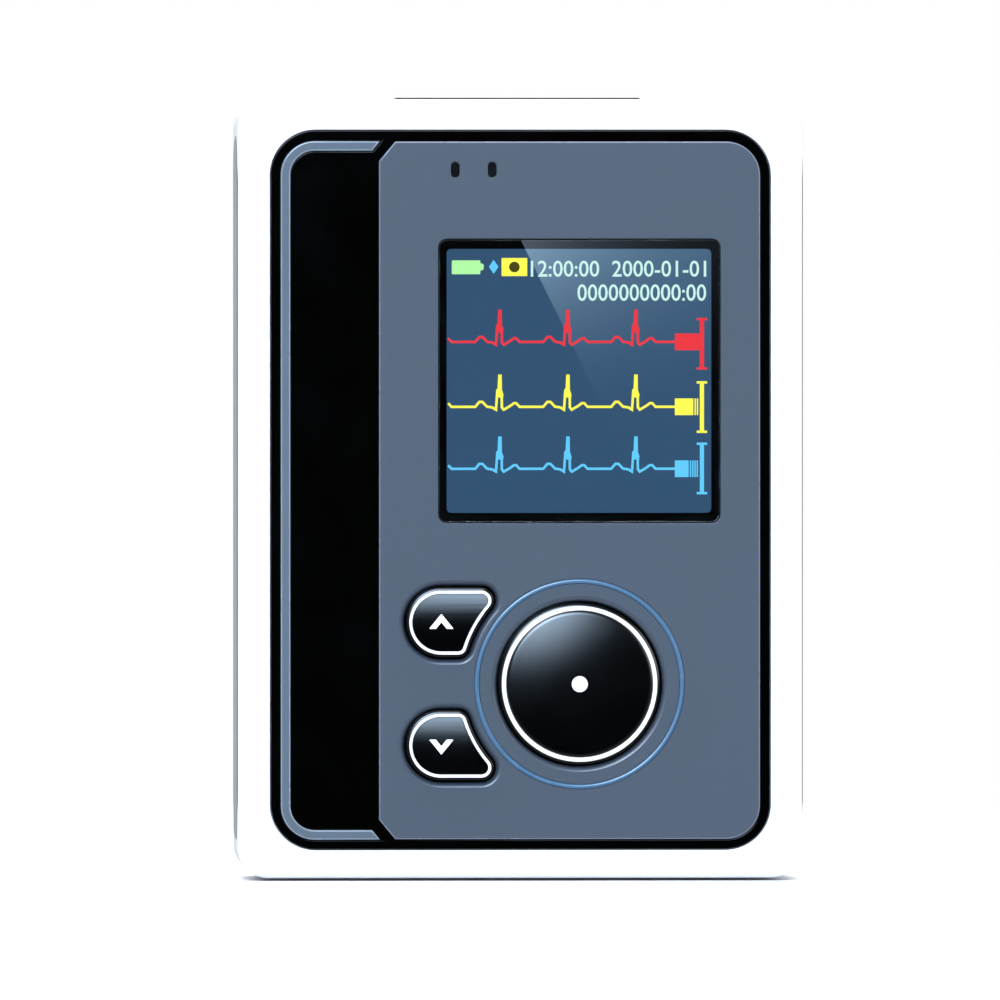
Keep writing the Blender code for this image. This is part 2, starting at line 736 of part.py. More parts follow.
def build_front_housing():
    """The white tub that carries the face, with its shelf, bosses and board posts."""
    housing = box(
        "front_housing",
        (-CASE_RIGHT, FRONT_Y, 0.0),
        (CASE_RIGHT, HOUSING_BACK_Y, CASE_HEIGHT),
        "white_shell",
        corner=CASE_CORNER_RADIUS,
        rim=CASE_EDGE_RADIUS,
        rim_sides=[(0, -1, 0)],
    )
    hollow = plate(
        "housing_hollow", [case_outline(WALL)], SHELF_BACK_Y, HOUSING_BACK_Y + OVERRUN
    )
    pocket = plate(
        "face_pocket", [tray_outline(INLAY_GAP)], FRONT_Y - OVERRUN, SHELF_FRONT_Y
    )
    cut(housing, hollow, pocket)
    through = (SHELF_FRONT_Y - OVERRUN, SHELF_BACK_Y + OVERRUN)
    left, right, bottom, top = glass_sides(INLAY_GAP)
    cut(housing, box("glass_hole", (left, through[0], bottom), (right, through[1], top)))
    flange = BUTTON_FLANGE_WIDTH + SEAT_GAP
    main_flange = circle_outline(CONTROL_X, MAIN_Z, MAIN_BUTTON_RADIUS + flange)
    cut(housing, plate("main_hole", [main_flange], *through))
    for name, side in (("up", 1), ("down", -1)):
        outline = moved(side_button_outline(side, flange), side_button_place(side))
        cut(housing, plate(f"{name}_hole", [outline], *through))
    for number, across in enumerate(SLOT_XS, 1):
        cut(housing, plate(f"pipe_hole_{number}", [slot_outline(across, INLAY_GAP)], *through))
    for name, side in (("left", -1), ("right", 1)):
        cut(housing, grip_box(f"grip_recess_{name}", side, INLAY_GAP))
    cut(housing, socket_box("socket_hole", SEAT_GAP, CASE_HEIGHT - WALL - OVERRUN, OVERRUN))
    inset = gasket_inset()
    sides = [case_outline(inset - INLAY_GAP), case_outline(inset + GASKET_WIDTH + INLAY_GAP)]
    groove = plate(
        "gasket_groove",
        sides,
        HOUSING_BACK_Y - GASKET_HEIGHT,
        HOUSING_BACK_Y + OVERRUN,
    )
    cut(housing, groove)
    for number, place in enumerate(BOSS_PLACES, 1):
        top = LIP_FRONT_Y - SEAT_GAP
        floor = top - INSERT_LENGTH - 2 * SEAT_GAP
        bore = INSERT_RADIUS + INLAY_GAP
        join(housing, bored_post(f"boss_{number}", place, BOSS_RADIUS, bore, floor, top))
    for number, place in enumerate(POST_PLACES, 1):
        top = BOARD_FRONT_Y - SEAT_GAP
        floor = SHELF_BACK_Y + SEAT_GAP
        bore = BOARD_SCREW_RADIUS + INLAY_GAP
        join(housing, bored_post(f"post_{number}", place, POST_RADIUS, bore, floor, top))


def bored_post(name, place, radius, bore, floor, top):
    """A post rooted in the housing's shelf, with a blind hole from its top down to a floor."""
    root = SHELF_BACK_Y - SHELF_THICKNESS / 2
    profile = [
        (0.0, floor),
        (bore, floor),
        (bore, top),
        (radius, top),
        (radius, root),
        (0.0, root),
    ]
    across, up = place
    return turned(name, profile, (across, 0.0, up), TO_BACK, steps=SMALL_ROUND_STEPS)


def gasket_inset():
    """How far the gasket lies in from the case's outer face, midway through the wall."""
    return (WALL - GASKET_WIDTH) / 2


def glass_sides(grow):
    """Left, right, bottom and top of the display glass, which laps the window all round."""
    return (
        WINDOW_LEFT - GLASS_SIDE_LAP - grow,
        WINDOW_RIGHT + GLASS_SIDE_LAP + grow,
        WINDOW_BOTTOM - GLASS_BOTTOM_LAP - grow,
        WINDOW_TOP + GLASS_TOP_LAP + grow,
    )


def tray_outline(grow):
    """The face tray."""
    right = FIELD_RIGHT + BORDER_WIDTH + grow
    bottom = FACE_BOTTOM_MARGIN - grow
    return rounded_outline(
        -right, right, bottom, bottom + FACE_HEIGHT + 2 * grow, TRAY_CORNER_RADIUS + grow
    )


def build_gasket():
    """The seal between housing and cover."""
    inset = gasket_inset()
    plate(
        "cover_gasket",
        [case_outline(inset), case_outline(inset + GASKET_WIDTH)],
        HOUSING_BACK_Y - GASKET_HEIGHT + INLAY_GAP,
        HOUSING_BACK_Y + INLAY_GAP,
        "rubber_grey",
    )


def build_face():
    """The black tray, the C-shaped trim, the panel and the halo ring let into it."""
    holes = [window_outline(INLAY_GAP)]
    holes.append(circle_outline(CONTROL_X, MAIN_Z, MAIN_BUTTON_RADIUS + BUTTON_RECESS - INLAY_GAP))
    for side in (1, -1):
        outline = side_button_outline(side, BUTTON_RECESS - INLAY_GAP)
        holes.append(moved(outline, side_button_place(side)))
    holes += [slot_outline(across, INLAY_GAP) for across in SLOT_XS]
    tray = plate("face_tray", [tray_outline(0.0), *holes], FRONT_Y, TRAY_BACK_Y, "gloss_black")
    front = FRONT_Y - OVERRUN
    trim_floor = FRONT_Y + TRIM_THICKNESS + SEAT_GAP
    cut(
        tray,
        plate("panel_pocket", [panel_outline(INLAY_GAP)], front, PANEL_BACK_Y + SEAT_GAP),
        plate("trim_pocket", [trim_outline(INLAY_GAP)], front, trim_floor),
    )
    plate("accent_trim", [trim_outline(0.0)], FRONT_Y, FRONT_Y + TRIM_THICKNESS, "trim_blue")
    holes = [window_outline(INLAY_GAP)]
    holes.append(circle_outline(CONTROL_X, MAIN_Z, MAIN_BUTTON_RADIUS + BUTTON_RECESS))
    for side in (1, -1):
        holes.append(moved(side_button_outline(side, BUTTON_RECESS), side_button_place(side)))
    holes += [slot_outline(across, INLAY_GAP) for across in SLOT_XS]
    panel = plate(
        "face_panel", [panel_outline(0.0), *holes], PANEL_FRONT_Y, PANEL_BACK_Y, "panel_blue"
    )
    outer, inner = HALO_RADIUS + HALO_WIDTH / 2, HALO_RADIUS - HALO_WIDTH / 2
    grown = [
        circle_outline(CONTROL_X, MAIN_Z, outer + INLAY_GAP),
        circle_outline(CONTROL_X, MAIN_Z, inner - INLAY_GAP),
    ]
    halo_back = PANEL_FRONT_Y + HALO_THICKNESS
    cut(panel, plate("halo_groove", grown, PANEL_FRONT_Y - OVERRUN, halo_back + INLAY_GAP))
    ring = [circle_outline(CONTROL_X, MAIN_Z, outer), circle_outline(CONTROL_X, MAIN_Z, inner)]
    plate("halo_ring", ring, PANEL_FRONT_Y, halo_back, "halo_blue")


def build_display():
    """The window, the glass behind it, its backlight, and the flat cable to the board."""
    plate("display_window", [window_outline(0.0)], PANEL_FRONT_Y, TRAY_BACK_Y, "window_clear")
    left, right, bottom, top = glass_sides(0.0)
    box("display_glass", (left, SHELF_FRONT_Y, bottom), (right, GLASS_BACK_Y, top), "display_dark")
    inset = BACKLIGHT_INSET
    box(
        "display_backlight",
        (left + inset, BACKLIGHT_FRONT_Y, bottom + inset),
        (right - inset, BACKLIGHT_BACK_Y, top - inset),
        "white_mark",
    )
    half = CABLE_THICKNESS / 2
    near = BACKLIGHT_FRONT_Y + BACKLIGHT_THICKNESS / 2
    far = near + CABLE_BEND
    start, end = bottom + inset - SEAT_GAP, bottom + inset - CABLE_DROP
    run = (start - end) / 4
    cable = [
        (near - half, start),
        (near + half, start),
        (near + half, start - run),
        (far + half, end + run),
        (far + half, end),
        (far - half, end),
        (far - half, end + run),
        (near - half, start - run),
    ]
    side_plate(
        "display_cable",
        cable,
        CONTROL_X - CABLE_WIDTH / 2,
        CONTROL_X + CABLE_WIDTH / 2,
        "polyimide",
    )
    box(
        "display_connector",
        (
            CONTROL_X - CONNECTOR_WIDTH / 2,
            BOARD_FRONT_Y - SEAT_GAP - CONNECTOR_THICKNESS,
            end - SEAT_GAP - CONNECTOR_HEIGHT,
        ),
        (CONTROL_X + CONNECTOR_WIDTH / 2, BOARD_FRONT_Y - SEAT_GAP, end - SEAT_GAP),
        "socket_black",
    )


def stem_back():
    """The depth that a button's stem reaches, just short of its switch's plunger."""
    return plunger_front() - BUTTON_TRAVEL - SWITCH_TRAVEL_SPARE


def plunger_front():
    """The depth of the switch plungers' tips."""
    return BOARD_FRONT_Y - SEAT_GAP - SWITCH_BODY_HEIGHT - PLUNGER_HEIGHT


def build_side_button(name, side):
    """One side button: a black cap with flange and stem, a bright rim and an arrow mark."""
    top = PANEL_FRONT_Y - BUTTON_RISE
    step = top + BUTTON_RIM_DEPTH
    flange_front = TRAY_BACK_Y + SEAT_GAP
    flange_back = flange_front + BUTTON_FLANGE_THICKNESS
    overlap = BUTTON_FLANGE_THICKNESS / 2
    core = -BUTTON_RIM_WIDTH - INLAY_GAP
    place = side_button_place(side)
    cap = plate(
        f"{name}_button",
        [side_button_outline(side, core)],
        top,
        flange_back,
        "gloss_black",
        rim=BUTTON_EDGE_RADIUS,
        place=place,
    )
    skirt = plate(
        f"{name}_skirt",
        [side_button_outline(side, 0.0)],
        step + INLAY_GAP,
        flange_back - overlap,
        place=place,
    )
    flange = plate(
        f"{name}_flange",
        [side_button_outline(side, BUTTON_FLANGE_WIDTH)],
        flange_front,
        flange_back - overlap / 2,
        place=place,
    )
    start = flange_front + overlap
    stem = rod(
        f"{name}_stem", (place[0], start, place[2]), TO_BACK, STEM_RADIUS, stem_back() - start
    )
    join(cap, skirt, flange, stem)
    mark_back = top + MARK_DEPTH
    seat = [chevron_outline(side, INLAY_GAP)]
    cut(cap, plate(f"{name}_mark_seat", seat, top - OVERRUN, mark_back, place=place))
    plate(
        f"{name}_button_mark",
        [chevron_outline(side, 0.0)],
        top,
        mark_back - INLAY_GAP,
        "white_mark",
        place=place,
    )
    plate(
        f"{name}_button_rim",
        [side_button_outline(side, 0.0), side_button_outline(side, -BUTTON_RIM_WIDTH)],
        top + BUTTON_EDGE_RADIUS,
        step,
        "bright_rim",
        place=place,
    )


def build_main_button():
    """The round button: a domed cap with flange and stem, a bright rim and a dot."""
    rise = PANEL_FRONT_Y - BUTTON_RISE
    base = rise + MAIN_DOME_RISE
    core = MAIN_BUTTON_RADIUS - BUTTON_RIM_WIDTH - INLAY_GAP
    flange_front = TRAY_BACK_Y + SEAT_GAP
    flange_back = flange_front + BUTTON_FLANGE_THICKNESS
    step = base + BUTTON_RIM_DEPTH
    ball = (core * core + MAIN_DOME_RISE * MAIN_DOME_RISE) / (2 * MAIN_DOME_RISE)
    dot = MAIN_DOT_RADIUS + INLAY_GAP
    dome = [
        (core * n / CORNER_STEPS, ball - math.sqrt(ball * ball - (core * n / CORNER_STEPS) ** 2))
        for n in range(1, CORNER_STEPS + 1)
    ]
    flange_radius = MAIN_BUTTON_RADIUS + BUTTON_FLANGE_WIDTH
    profile = [
        (0.0, rise + MARK_DEPTH),
        (dot, rise + MARK_DEPTH),
        (dot, rise + ball - math.sqrt(ball * ball - dot * dot)),
        *[(radius, rise + drop) for radius, drop in dome],
        (core, step + INLAY_GAP),
        (MAIN_BUTTON_RADIUS, step + INLAY_GAP),
        (MAIN_BUTTON_RADIUS, flange_front),
        (flange_radius, flange_front),
        (flange_radius, flange_back),
        (STEM_RADIUS, flange_back),
        (STEM_RADIUS, stem_back()),
        (0.0, stem_back()),
    ]
    place = (CONTROL_X, 0.0, MAIN_Z)
    turned(
        "main_button",
        [(radius, -depth) for radius, depth in profile],
        place,
        TO_FRONT,
        "gloss_black",
    )
    inner = MAIN_BUTTON_RADIUS - BUTTON_RIM_WIDTH
    crest = (inner + MAIN_BUTTON_RADIUS) / 2
    shoulder = base + BUTTON_EDGE_RADIUS
    rim = [(inner, shoulder), (crest, base), (MAIN_BUTTON_RADIUS, shoulder)]
    rim += [(MAIN_BUTTON_RADIUS, step), (inner, step)]
    turned(
        "main_button_rim",
        [(radius, -depth) for radius, depth in rim],
        place,
        TO_FRONT,
        "bright_rim",
        closed=True,
    )
    rod(
        "main_button_mark",
        (CONTROL_X, rise + MARK_DEPTH - INLAY_GAP, MAIN_Z),
        TO_FRONT,
        MAIN_DOT_RADIUS,
        MARK_DEPTH - INLAY_GAP,
        "white_mark",
        SMALL_ROUND_STEPS,
    )


def build_switch(name, across, up):
    """A low push switch on the board's front, its plunger under a button's stem."""
    half = SWITCH_SIDE / 2
    back = BOARD_FRONT_Y - SEAT_GAP
    front = back - SWITCH_BODY_HEIGHT
    switch = box(
        f"{name}_switch", (across - half, front, up - half), (across + half, back, up + half), "tin"
    )
    length = PLUNGER_HEIGHT + SWITCH_BODY_HEIGHT / 2
    start = front + SWITCH_BODY_HEIGHT / 2
    join(switch, rod(f"{name}_plunger", (across, start, up), TO_FRONT, PLUNGER_RADIUS, length))


def build_indicators():
    """Two light pipes, and a lamp on the board behind each."""
    for side, across in zip(("left", "right"), SLOT_XS):
        lamp_back = BOARD_FRONT_Y - SEAT_GAP
        lamp_front = lamp_back - LAMP_THICKNESS
        plate(
            f"light_pipe_{side}",
            [slot_outline(across, 0.0)],
            PANEL_FRONT_Y,
            lamp_front - SEAT_GAP,
            "socket_black",
        )
        box(
            f"indicator_lamp_{side}",
            (across - LAMP_WIDTH / 2, lamp_front, SLOT_Z - LAMP_HEIGHT / 2),
            (across + LAMP_WIDTH / 2, lamp_back, SLOT_Z + LAMP_HEIGHT / 2),
            "white_mark",
        )


def build_board():
    """The main board, the screws that hold it, and the parts on its back."""
    sides = (-BOARD_RIGHT, BOARD_RIGHT, BOARD_BOTTOM, BOARD_TOP)
    outline = rounded_outline(*sides, BOARD_CORNER_RADIUS)
    hole = BOARD_SCREW_RADIUS + INLAY_GAP
    holes = [circle_outline(across, up, hole, SMALL_ROUND_STEPS) for across, up in POST_PLACES]
    plate("main_board", [outline, *holes], BOARD_FRONT_Y, BOARD_BACK_Y, "board_green")
    for number, (across, up) in enumerate(POST_PLACES, 1):
        head = BOARD_SCREW_HEAD_HEIGHT
        profile = [
            (0.0, head),
            (BOARD_SCREW_HEAD_RADIUS, head),
            (BOARD_SCREW_HEAD_RADIUS, 0.0),
            (BOARD_SCREW_RADIUS, 0.0),
            (BOARD_SCREW_RADIUS, -BOARD_SCREW_LENGTH),
            (0.0, -BOARD_SCREW_LENGTH),
        ]
        screw = turned(
            f"board_screw_{number}",
            profile,
            (across, PARTS_Y, up),
            TO_BACK,
            "steel",
            SMALL_ROUND_STEPS,
        )
        length = 3 * BOARD_SCREW_HEAD_RADIUS
        top = PARTS_Y + head
        cut(
            screw,
            drive_slot(f"board_drive_{number}", across, up, top, length, SCREW_DRIVE_WIDTH),
        )
    row = BAY_TOP + BOARD_SCREW_FROM_BAY + POST_RADIUS + PART_SPACING
    right = BOARD_RIGHT - PART_SPACING
    left = -right + CARD_SOCKET_WALL + SEAT_GAP + CARD_WIDTH / 2
    box(
        "radio_module",
        (right - RADIO_WIDTH, PARTS_Y, row),
        (right, PARTS_Y + RADIO_THICKNESS, row + RADIO_HEIGHT),
        "tin",
    )
    build_card(left, row + CARD_SHOWN)
    upper = row + RADIO_HEIGHT + PART_SPACING
    box(
        "processor_chip",
        (left - PROCESSOR_SIDE / 2, PARTS_Y, upper + PART_SPACING),
        (
            left + PROCESSOR_SIDE / 2,
            PARTS_Y + PROCESSOR_HEIGHT,
            upper + PART_SPACING + PROCESSOR_SIDE,
        ),
        "chip_black",
    )
    build_shield_can(right - RADIO_WIDTH / 2 - CAN_SIDE / 2, upper)


def drive_slot(name, across, up, top, width, height):
    """The cutter of one slot in a screw's head."""
    return box(
        name,
        (across - width / 2, top - SCREW_DRIVE_DEPTH, up - height / 2),
        (across + width / 2, top + OVERRUN, up + height / 2),
    )


def build_card(middle, bottom):
    """The card socket, open at its lower end, and the memory card in it."""
    half = CARD_WIDTH / 2
    wall = CARD_SOCKET_WALL
    slot = CARD_THICKNESS + 2 * SEAT_GAP
    top = bottom + CARD_LENGTH - CARD_SHOWN
    outer = half + SEAT_GAP + wall
    socket = box(
        "card_socket",
        (middle - outer, PARTS_Y, bottom),
        (middle + outer, PARTS_Y + slot + 2 * wall, top + SEAT_GAP + wall),
        "tin",
    )
    cut(
        socket,
        box(
            "card_slot",
            (middle - half - SEAT_GAP, PARTS_Y + wall, bottom - OVERRUN),
            (middle + half + SEAT_GAP, PARTS_Y + wall + slot, top + SEAT_GAP),
        ),
    )
    front = PARTS_Y + wall + SEAT_GAP
    box(
        "memory_card",
        (middle - half, front, top - CARD_LENGTH),
        (middle + half, front + CARD_THICKNESS, top),
        "chip_black",
    )


def build_shield_can(left, bottom):
    """The can over the amplifier chip, open towards the board."""
    can = box(
        "shield_can",
        (left, PARTS_Y, bottom),
        (left + CAN_SIDE, PARTS_Y + CAN_HEIGHT, bottom + CAN_SIDE),
        "tin",
    )
    inner = CAN_SIDE - CAN_WALL
    cut(
        can,
        box(
            "can_hollow",
            (left + CAN_WALL, PARTS_Y - OVERRUN, bottom + CAN_WALL),
            (left + inner, PARTS_Y + CAN_HEIGHT - CAN_WALL, bottom + inner),
        ),
    )
    edge = (CAN_SIDE - AMPLIFIER_SIDE) / 2
    box(
        "amplifier_chip",
        (left + edge, PARTS_Y, bottom + edge),
        (left + edge + AMPLIFIER_SIDE, PARTS_Y + AMPLIFIER_HEIGHT, bottom + edge + AMPLIFIER_SIDE),
        "chip_black",
    )


def socket_box(name, grow, bottom, reach, finish=None):
    """The lead socket's block, or with growth the hole that it stands in."""
    return box(
        name,
        (-SOCKET_WIDTH / 2 - grow, PARTS_Y - grow, bottom),
        (SOCKET_WIDTH / 2 + grow, PARTS_Y + SOCKET_DEPTH + grow, CASE_HEIGHT + SOCKET_PROUD + reach),
        finish,
        corner=SOCKET_CORNER_RADIUS + grow,
        along=(0, 0, 1),
    )


def build_lead_socket():
    """The socket for the electrode leads, open at the top, and the contacts on one wall."""
    bottom = CASE_HEIGHT + SOCKET_PROUD - SOCKET_HEIGHT
    socket = socket_box("lead_socket", 0.0, bottom, 0.0, "socket_black")
    floor = bottom + SOCKET_FLOOR
    half, wall = SOCKET_WIDTH / 2, SOCKET_WALL
    cut(
        socket,
        box(
            "socket_hollow",
            (-half + wall, PARTS_Y + wall, floor),
            (half - wall, PARTS_Y + SOCKET_DEPTH - wall, CASE_HEIGHT + OVERRUN),
            corner=SOCKET_CORNER_RADIUS / 2,
            along=(0, 0, 1),
        ),
    )
    inner = half - wall - SEAT_GAP
    front = PARTS_Y + wall + SEAT_GAP
    seat = floor + SEAT_GAP
    contacts = box(
        "lead_contacts",
        (-inner, front, seat),
        (inner, front + CONTACT_BAR_DEPTH, seat + CONTACT_BAR_HEIGHT),
        "gold",
    )
    pitch = 2 * inner / CONTACT_COUNT
    for number in range(CONTACT_COUNT):
        across = -inner + pitch * (number + 0.5)
        blade = box(
            f"contact_blade_{number + 1}",
            (across - CONTACT_WIDTH / 2, front + INLAY_GAP, seat + CONTACT_BAR_HEIGHT / 2),
            (
                across + CONTACT_WIDTH / 2,
                front + INLAY_GAP + CONTACT_THICKNESS,
                seat + CONTACT_BAR_HEIGHT + CONTACT_LENGTH,
            ),
        )
        join(contacts, blade)


def build_rear_cover():
    """The white cover with its lip, screw bosses, cell bay, door recess and hinge block."""
    cover = box(
        "rear_cover",
        (-CASE_RIGHT, COVER_FRONT_Y, 0.0),
        (CASE_RIGHT, BACK_Y, CASE_HEIGHT),
        "white_shell",
        corner=CASE_CORNER_RADIUS,
        rim=CASE_EDGE_RADIUS,
        rim_sides=[(0, 1, 0)],
    )
    within = COVER_FRONT_Y + COVER_THICKNESS / 4
    inset = WALL + INLAY_GAP
    lip = plate(
        "cover_lip",
        [case_outline(inset), case_outline(inset + COVER_LIP_WIDTH)],
        LIP_FRONT_Y,
        within,
    )
    join(cover, lip)
    for number, (across, up) in enumerate(BOSS_PLACES, 1):
        radius = BOSS_RADIUS - INLAY_GAP
        start = LIP_FRONT_Y + INLAY_GAP
        join(cover, rod(f"foot_{number}", (across, start, up), TO_BACK, radius, within - start))
    outer_right = BAY_INNER_RIGHT + BAY_WALL
    bay = box("bay_block", (-outer_right, BAY_FRONT_Y, BAY_BOTTOM), (outer_right, within, BAY_TOP))
    barrel_room = BARREL_RADIUS + SEAT_GAP
    block_front = HINGE_Y - barrel_room - HINGE_BLOCK_WALL
    room = barrel_room + DOOR_SWING_ROOM
    block = box(
        "hinge_block",
        (-HINGE_BLOCK_RIGHT, block_front, BAY_TOP - BAY_WALL / 2),
        (HINGE_BLOCK_RIGHT, within, HINGE_Z + room + HINGE_BLOCK_WALL),
    )
    join(cover, bay, block)
    cut(
        cover,
        box(
            "bay_hollow",
            (-BAY_INNER_RIGHT, BAY_INNER_Y, BAY_INNER_BOTTOM),
            (BAY_INNER_RIGHT, COVER_FRONT_Y + SEAT_GAP, BAY_INNER_TOP),
        ),
        box(
            "door_opening",
            (-DOOR_OPENING_RIGHT, COVER_FRONT_Y - OVERRUN, BAY_INNER_BOTTOM),
            (DOOR_OPENING_RIGHT, BACK_Y + OVERRUN, BAY_INNER_TOP),
        ),
        box(
            "door_recess",
            (-DOOR_RIGHT - SEAT_GAP, DOOR_FRONT_Y - SEAT_GAP, DOOR_BOTTOM - SEAT_GAP),
            (DOOR_RIGHT + SEAT_GAP, BACK_Y + OVERRUN, HINGE_Z + room),
        ),
        box(
            "barrel_pocket",
            (-DOOR_RIGHT - SEAT_GAP, HINGE_Y - barrel_room, HINGE_Z - barrel_room),
            (DOOR_RIGHT + SEAT_GAP, BACK_Y, HINGE_Z + room),
        ),
    )
    reach = DOOR_RIGHT + PIN_END
    cut(
        cover,
        rod("pin_hole", (-reach, HINGE_Y, HINGE_Z), TO_RIGHT, PIN_BORE_RADIUS, 2 * reach),
        box(
            "finger_notch",
            (-NOTCH_WIDTH / 2, BACK_Y - DOOR_THICKNESS / 2, DOOR_BOTTOM - NOTCH_HEIGHT),
            (NOTCH_WIDTH / 2, BACK_Y + OVERRUN, DOOR_BOTTOM),
        ),
    )
    for number, (across, up) in enumerate(BOSS_PLACES, 1):
        hole = rod(
            f"screw_hole_{number}",
            (across, LIP_FRONT_Y - OVERRUN, up),
            TO_BACK,
            SCREW_RADIUS + SEAT_GAP,
            BACK_Y - LIP_FRONT_Y + 2 * OVERRUN,
        )
        recess = rod(
            f"screw_recess_{number}",
            (across, BACK_Y - SCREW_RECESS, up),
            TO_BACK,
            SCREW_HEAD_RADIUS + INLAY_GAP,
            SCREW_RECESS + OVERRUN,
        )
        cut(cover, hole, recess)


def build_fasteners():
    """The four case screws and the threaded inserts that they turn into."""
    for number, (across, up) in enumerate(BOSS_PLACES, 1):
        seat = BACK_Y - SCREW_RECESS + INLAY_GAP
        head = SCREW_HEAD_HEIGHT
        profile = [
            (0.0, head),
            (SCREW_HEAD_RADIUS, head),
            (SCREW_HEAD_RADIUS, 0.0),
            (SCREW_RADIUS, 0.0),
            (SCREW_RADIUS, -SCREW_LENGTH),
            (0.0, -SCREW_LENGTH),
        ]
        screw = turned(
            f"case_screw_{number}", profile, (across, seat, up), TO_BACK, "steel", SMALL_ROUND_STEPS
        )
        top = seat + head
        length, width = SCREW_DRIVE_LENGTH, SCREW_DRIVE_WIDTH
        cut(
            screw,
            drive_slot(f"drive_flat_{number}", across, up, top, length, width),
            drive_slot(f"drive_upright_{number}", across, up, top, width, length),
        )
        bore = SCREW_RADIUS + INLAY_GAP
        sleeve = [
            (bore, INSERT_LENGTH),
            (INSERT_RADIUS, INSERT_LENGTH),
            (INSERT_RADIUS, 0.0),
            (bore, 0.0),
        ]
        turned(
            f"screw_insert_{number}",
            sleeve,
            (across, LIP_FRONT_Y - 2 * SEAT_GAP - INSERT_LENGTH, up),
            TO_BACK,
            "brass",
            SMALL_ROUND_STEPS,
            closed=True,
        )


def build_cell():
    """The cell in its bay, with a flat contact at one end and a coil spring at the other."""
    edge = CELL_EDGE_RADIUS
    shoulder = CELL_LENGTH - CELL_NUB_LENGTH
    profile = [
        (0.0, CELL_LENGTH),
        (CELL_NUB_RADIUS, CELL_LENGTH),
        (CELL_NUB_RADIUS, shoulder),
        (CELL_RADIUS - edge, shoulder),
        (CELL_RADIUS, shoulder - edge),
        (CELL_RADIUS, edge),
        (CELL_RADIUS - edge, 0.0),
        (0.0, 0.0),
    ]
    turned("battery_cell", profile, (CELL_LEFT, CELL_Y, CELL_Z), TO_RIGHT, "cell_wrap", 24)
    half = CONTACT_PLATE_SIDE / 2
    plate_left = CELL_RIGHT + SEAT_GAP
    box(
        "battery_contact",
        (plate_left, CELL_Y - half, CELL_Z - half),
        (plate_left + CONTACT_PLATE_THICKNESS, CELL_Y + half, CELL_Z + half),
        "tin",
    )
    build_spring(-BAY_INNER_RIGHT + SEAT_GAP, SPRING_LENGTH)


def build_spring(left, length):
    """A conical coil along X, wide at the bay's wall and narrow at the cell."""
    wire = SPRING_WIRE_RADIUS
    count = round(SPRING_TURNS * COIL_STEPS_PER_TURN)
    curve = bpy.data.curves.new("battery_spring", "CURVE")
    curve.dimensions = "3D"
    curve.bevel_depth = wire
    curve.bevel_resolution = 1
    curve.use_fill_caps = True
    spline = curve.splines.new("POLY")
    spline.points.add(count)
    for number, point in enumerate(spline.points):
        share = number / count
        angle = 2 * math.pi * SPRING_TURNS * share
        radius = SPRING_BASE_RADIUS + (SPRING_TIP_RADIUS - SPRING_BASE_RADIUS) * share
        along = left + wire + (length - 2 * wire) * share
        point.co = (
            along,
            CELL_Y + radius * math.cos(angle),
            CELL_Z + radius * math.sin(angle),
            1.0,
        )
    mesh = as_mesh("battery_spring", curve, (0.0, 0.0, 0.0), UPRIGHT)
    add_object("battery_spring", mesh, (0.0, 0.0, 0.0), UPRIGHT, "steel")


def build_door():
    """The battery door with its hinge barrel, the pin through it and the pad inside."""
    outline = rounded_outline(
        -DOOR_RIGHT, DOOR_RIGHT, DOOR_BOTTOM - HINGE_Z, 0.0, DOOR_BOTTOM_CORNER_RADIUS
    )
    door = plate(
        "battery_door",
        [outline],
        DOOR_FRONT_Y - HINGE_Y,
        BACK_Y - HINGE_Y,
        "white_shell",
        place=(0.0, HINGE_Y, HINGE_Z),
    )
    barrel = rod(
        "door_barrel",
        (-DOOR_RIGHT, HINGE_Y, HINGE_Z),
        TO_RIGHT,
        BARREL_RADIUS,
        2 * DOOR_RIGHT,
        steps=2 * SMALL_ROUND_STEPS,
    )
    join(door, barrel)
    reach = DOOR_RIGHT + OVERRUN
    cut(
        door,
        rod("door_bore", (-reach, HINGE_Y, HINGE_Z), TO_RIGHT, PIN_BORE_RADIUS, 2 * reach),
        box(
            "pull_notch",
            (-NOTCH_WIDTH / 2, BACK_Y - NOTCH_DEPTH, DOOR_BOTTOM - OVERRUN),
            (NOTCH_WIDTH / 2, BACK_Y + OVERRUN, DOOR_BOTTOM + NOTCH_HEIGHT),
        ),
    )
    half = DOOR_RIGHT + PIN_END - SEAT_GAP
    rod("hinge_pin", (-half, HINGE_Y, HINGE_Z), TO_RIGHT, PIN_RADIUS, 2 * half, "steel")
    pad_back = DOOR_FRONT_Y - SEAT_GAP
    box(
        "door_pad",
        (-PAD_WIDTH / 2, pad_back - PAD_THICKNESS, CELL_Z - PAD_HEIGHT / 2),
        (PAD_WIDTH / 2, pad_back, CELL_Z + PAD_HEIGHT / 2),
        "foam_black",
    )


def build_recorder():
    """Every piece, from the case to the battery door."""
    build_front_housing()
    build_gasket()
    for name, side in (("left", -1), ("right", 1)):
        grip_box(f"side_grip_{name}", side, 0.0, "soft_grey")
    build_face()
    build_display()
    for name, side in (("up", 1), ("down", -1)):
        build_side_button(name, side)
        build_switch(name, SIDE_BUTTON_X, MAIN_Z + side * SIDE_BUTTON_RAISE)
    build_main_button()
    build_switch("main", CONTROL_X, MAIN_Z)
    build_indicators()
    build_board()
    build_lead_socket()
    build_rear_cover()
    build_fasteners()
    build_cell()
    build_door()


build_recorder()
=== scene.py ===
"""A body-worn heart recorder, dressed and lit for a studio picture.

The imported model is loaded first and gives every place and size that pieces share. Lengths are
metres. X runs across the face, the face looks along -Y and Z is up.
"""

import json
import logging
import math
from contextlib import contextmanager
from dataclasses import dataclass, replace
from enum import Enum
from typing import Any, Callable, Iterator, Sequence

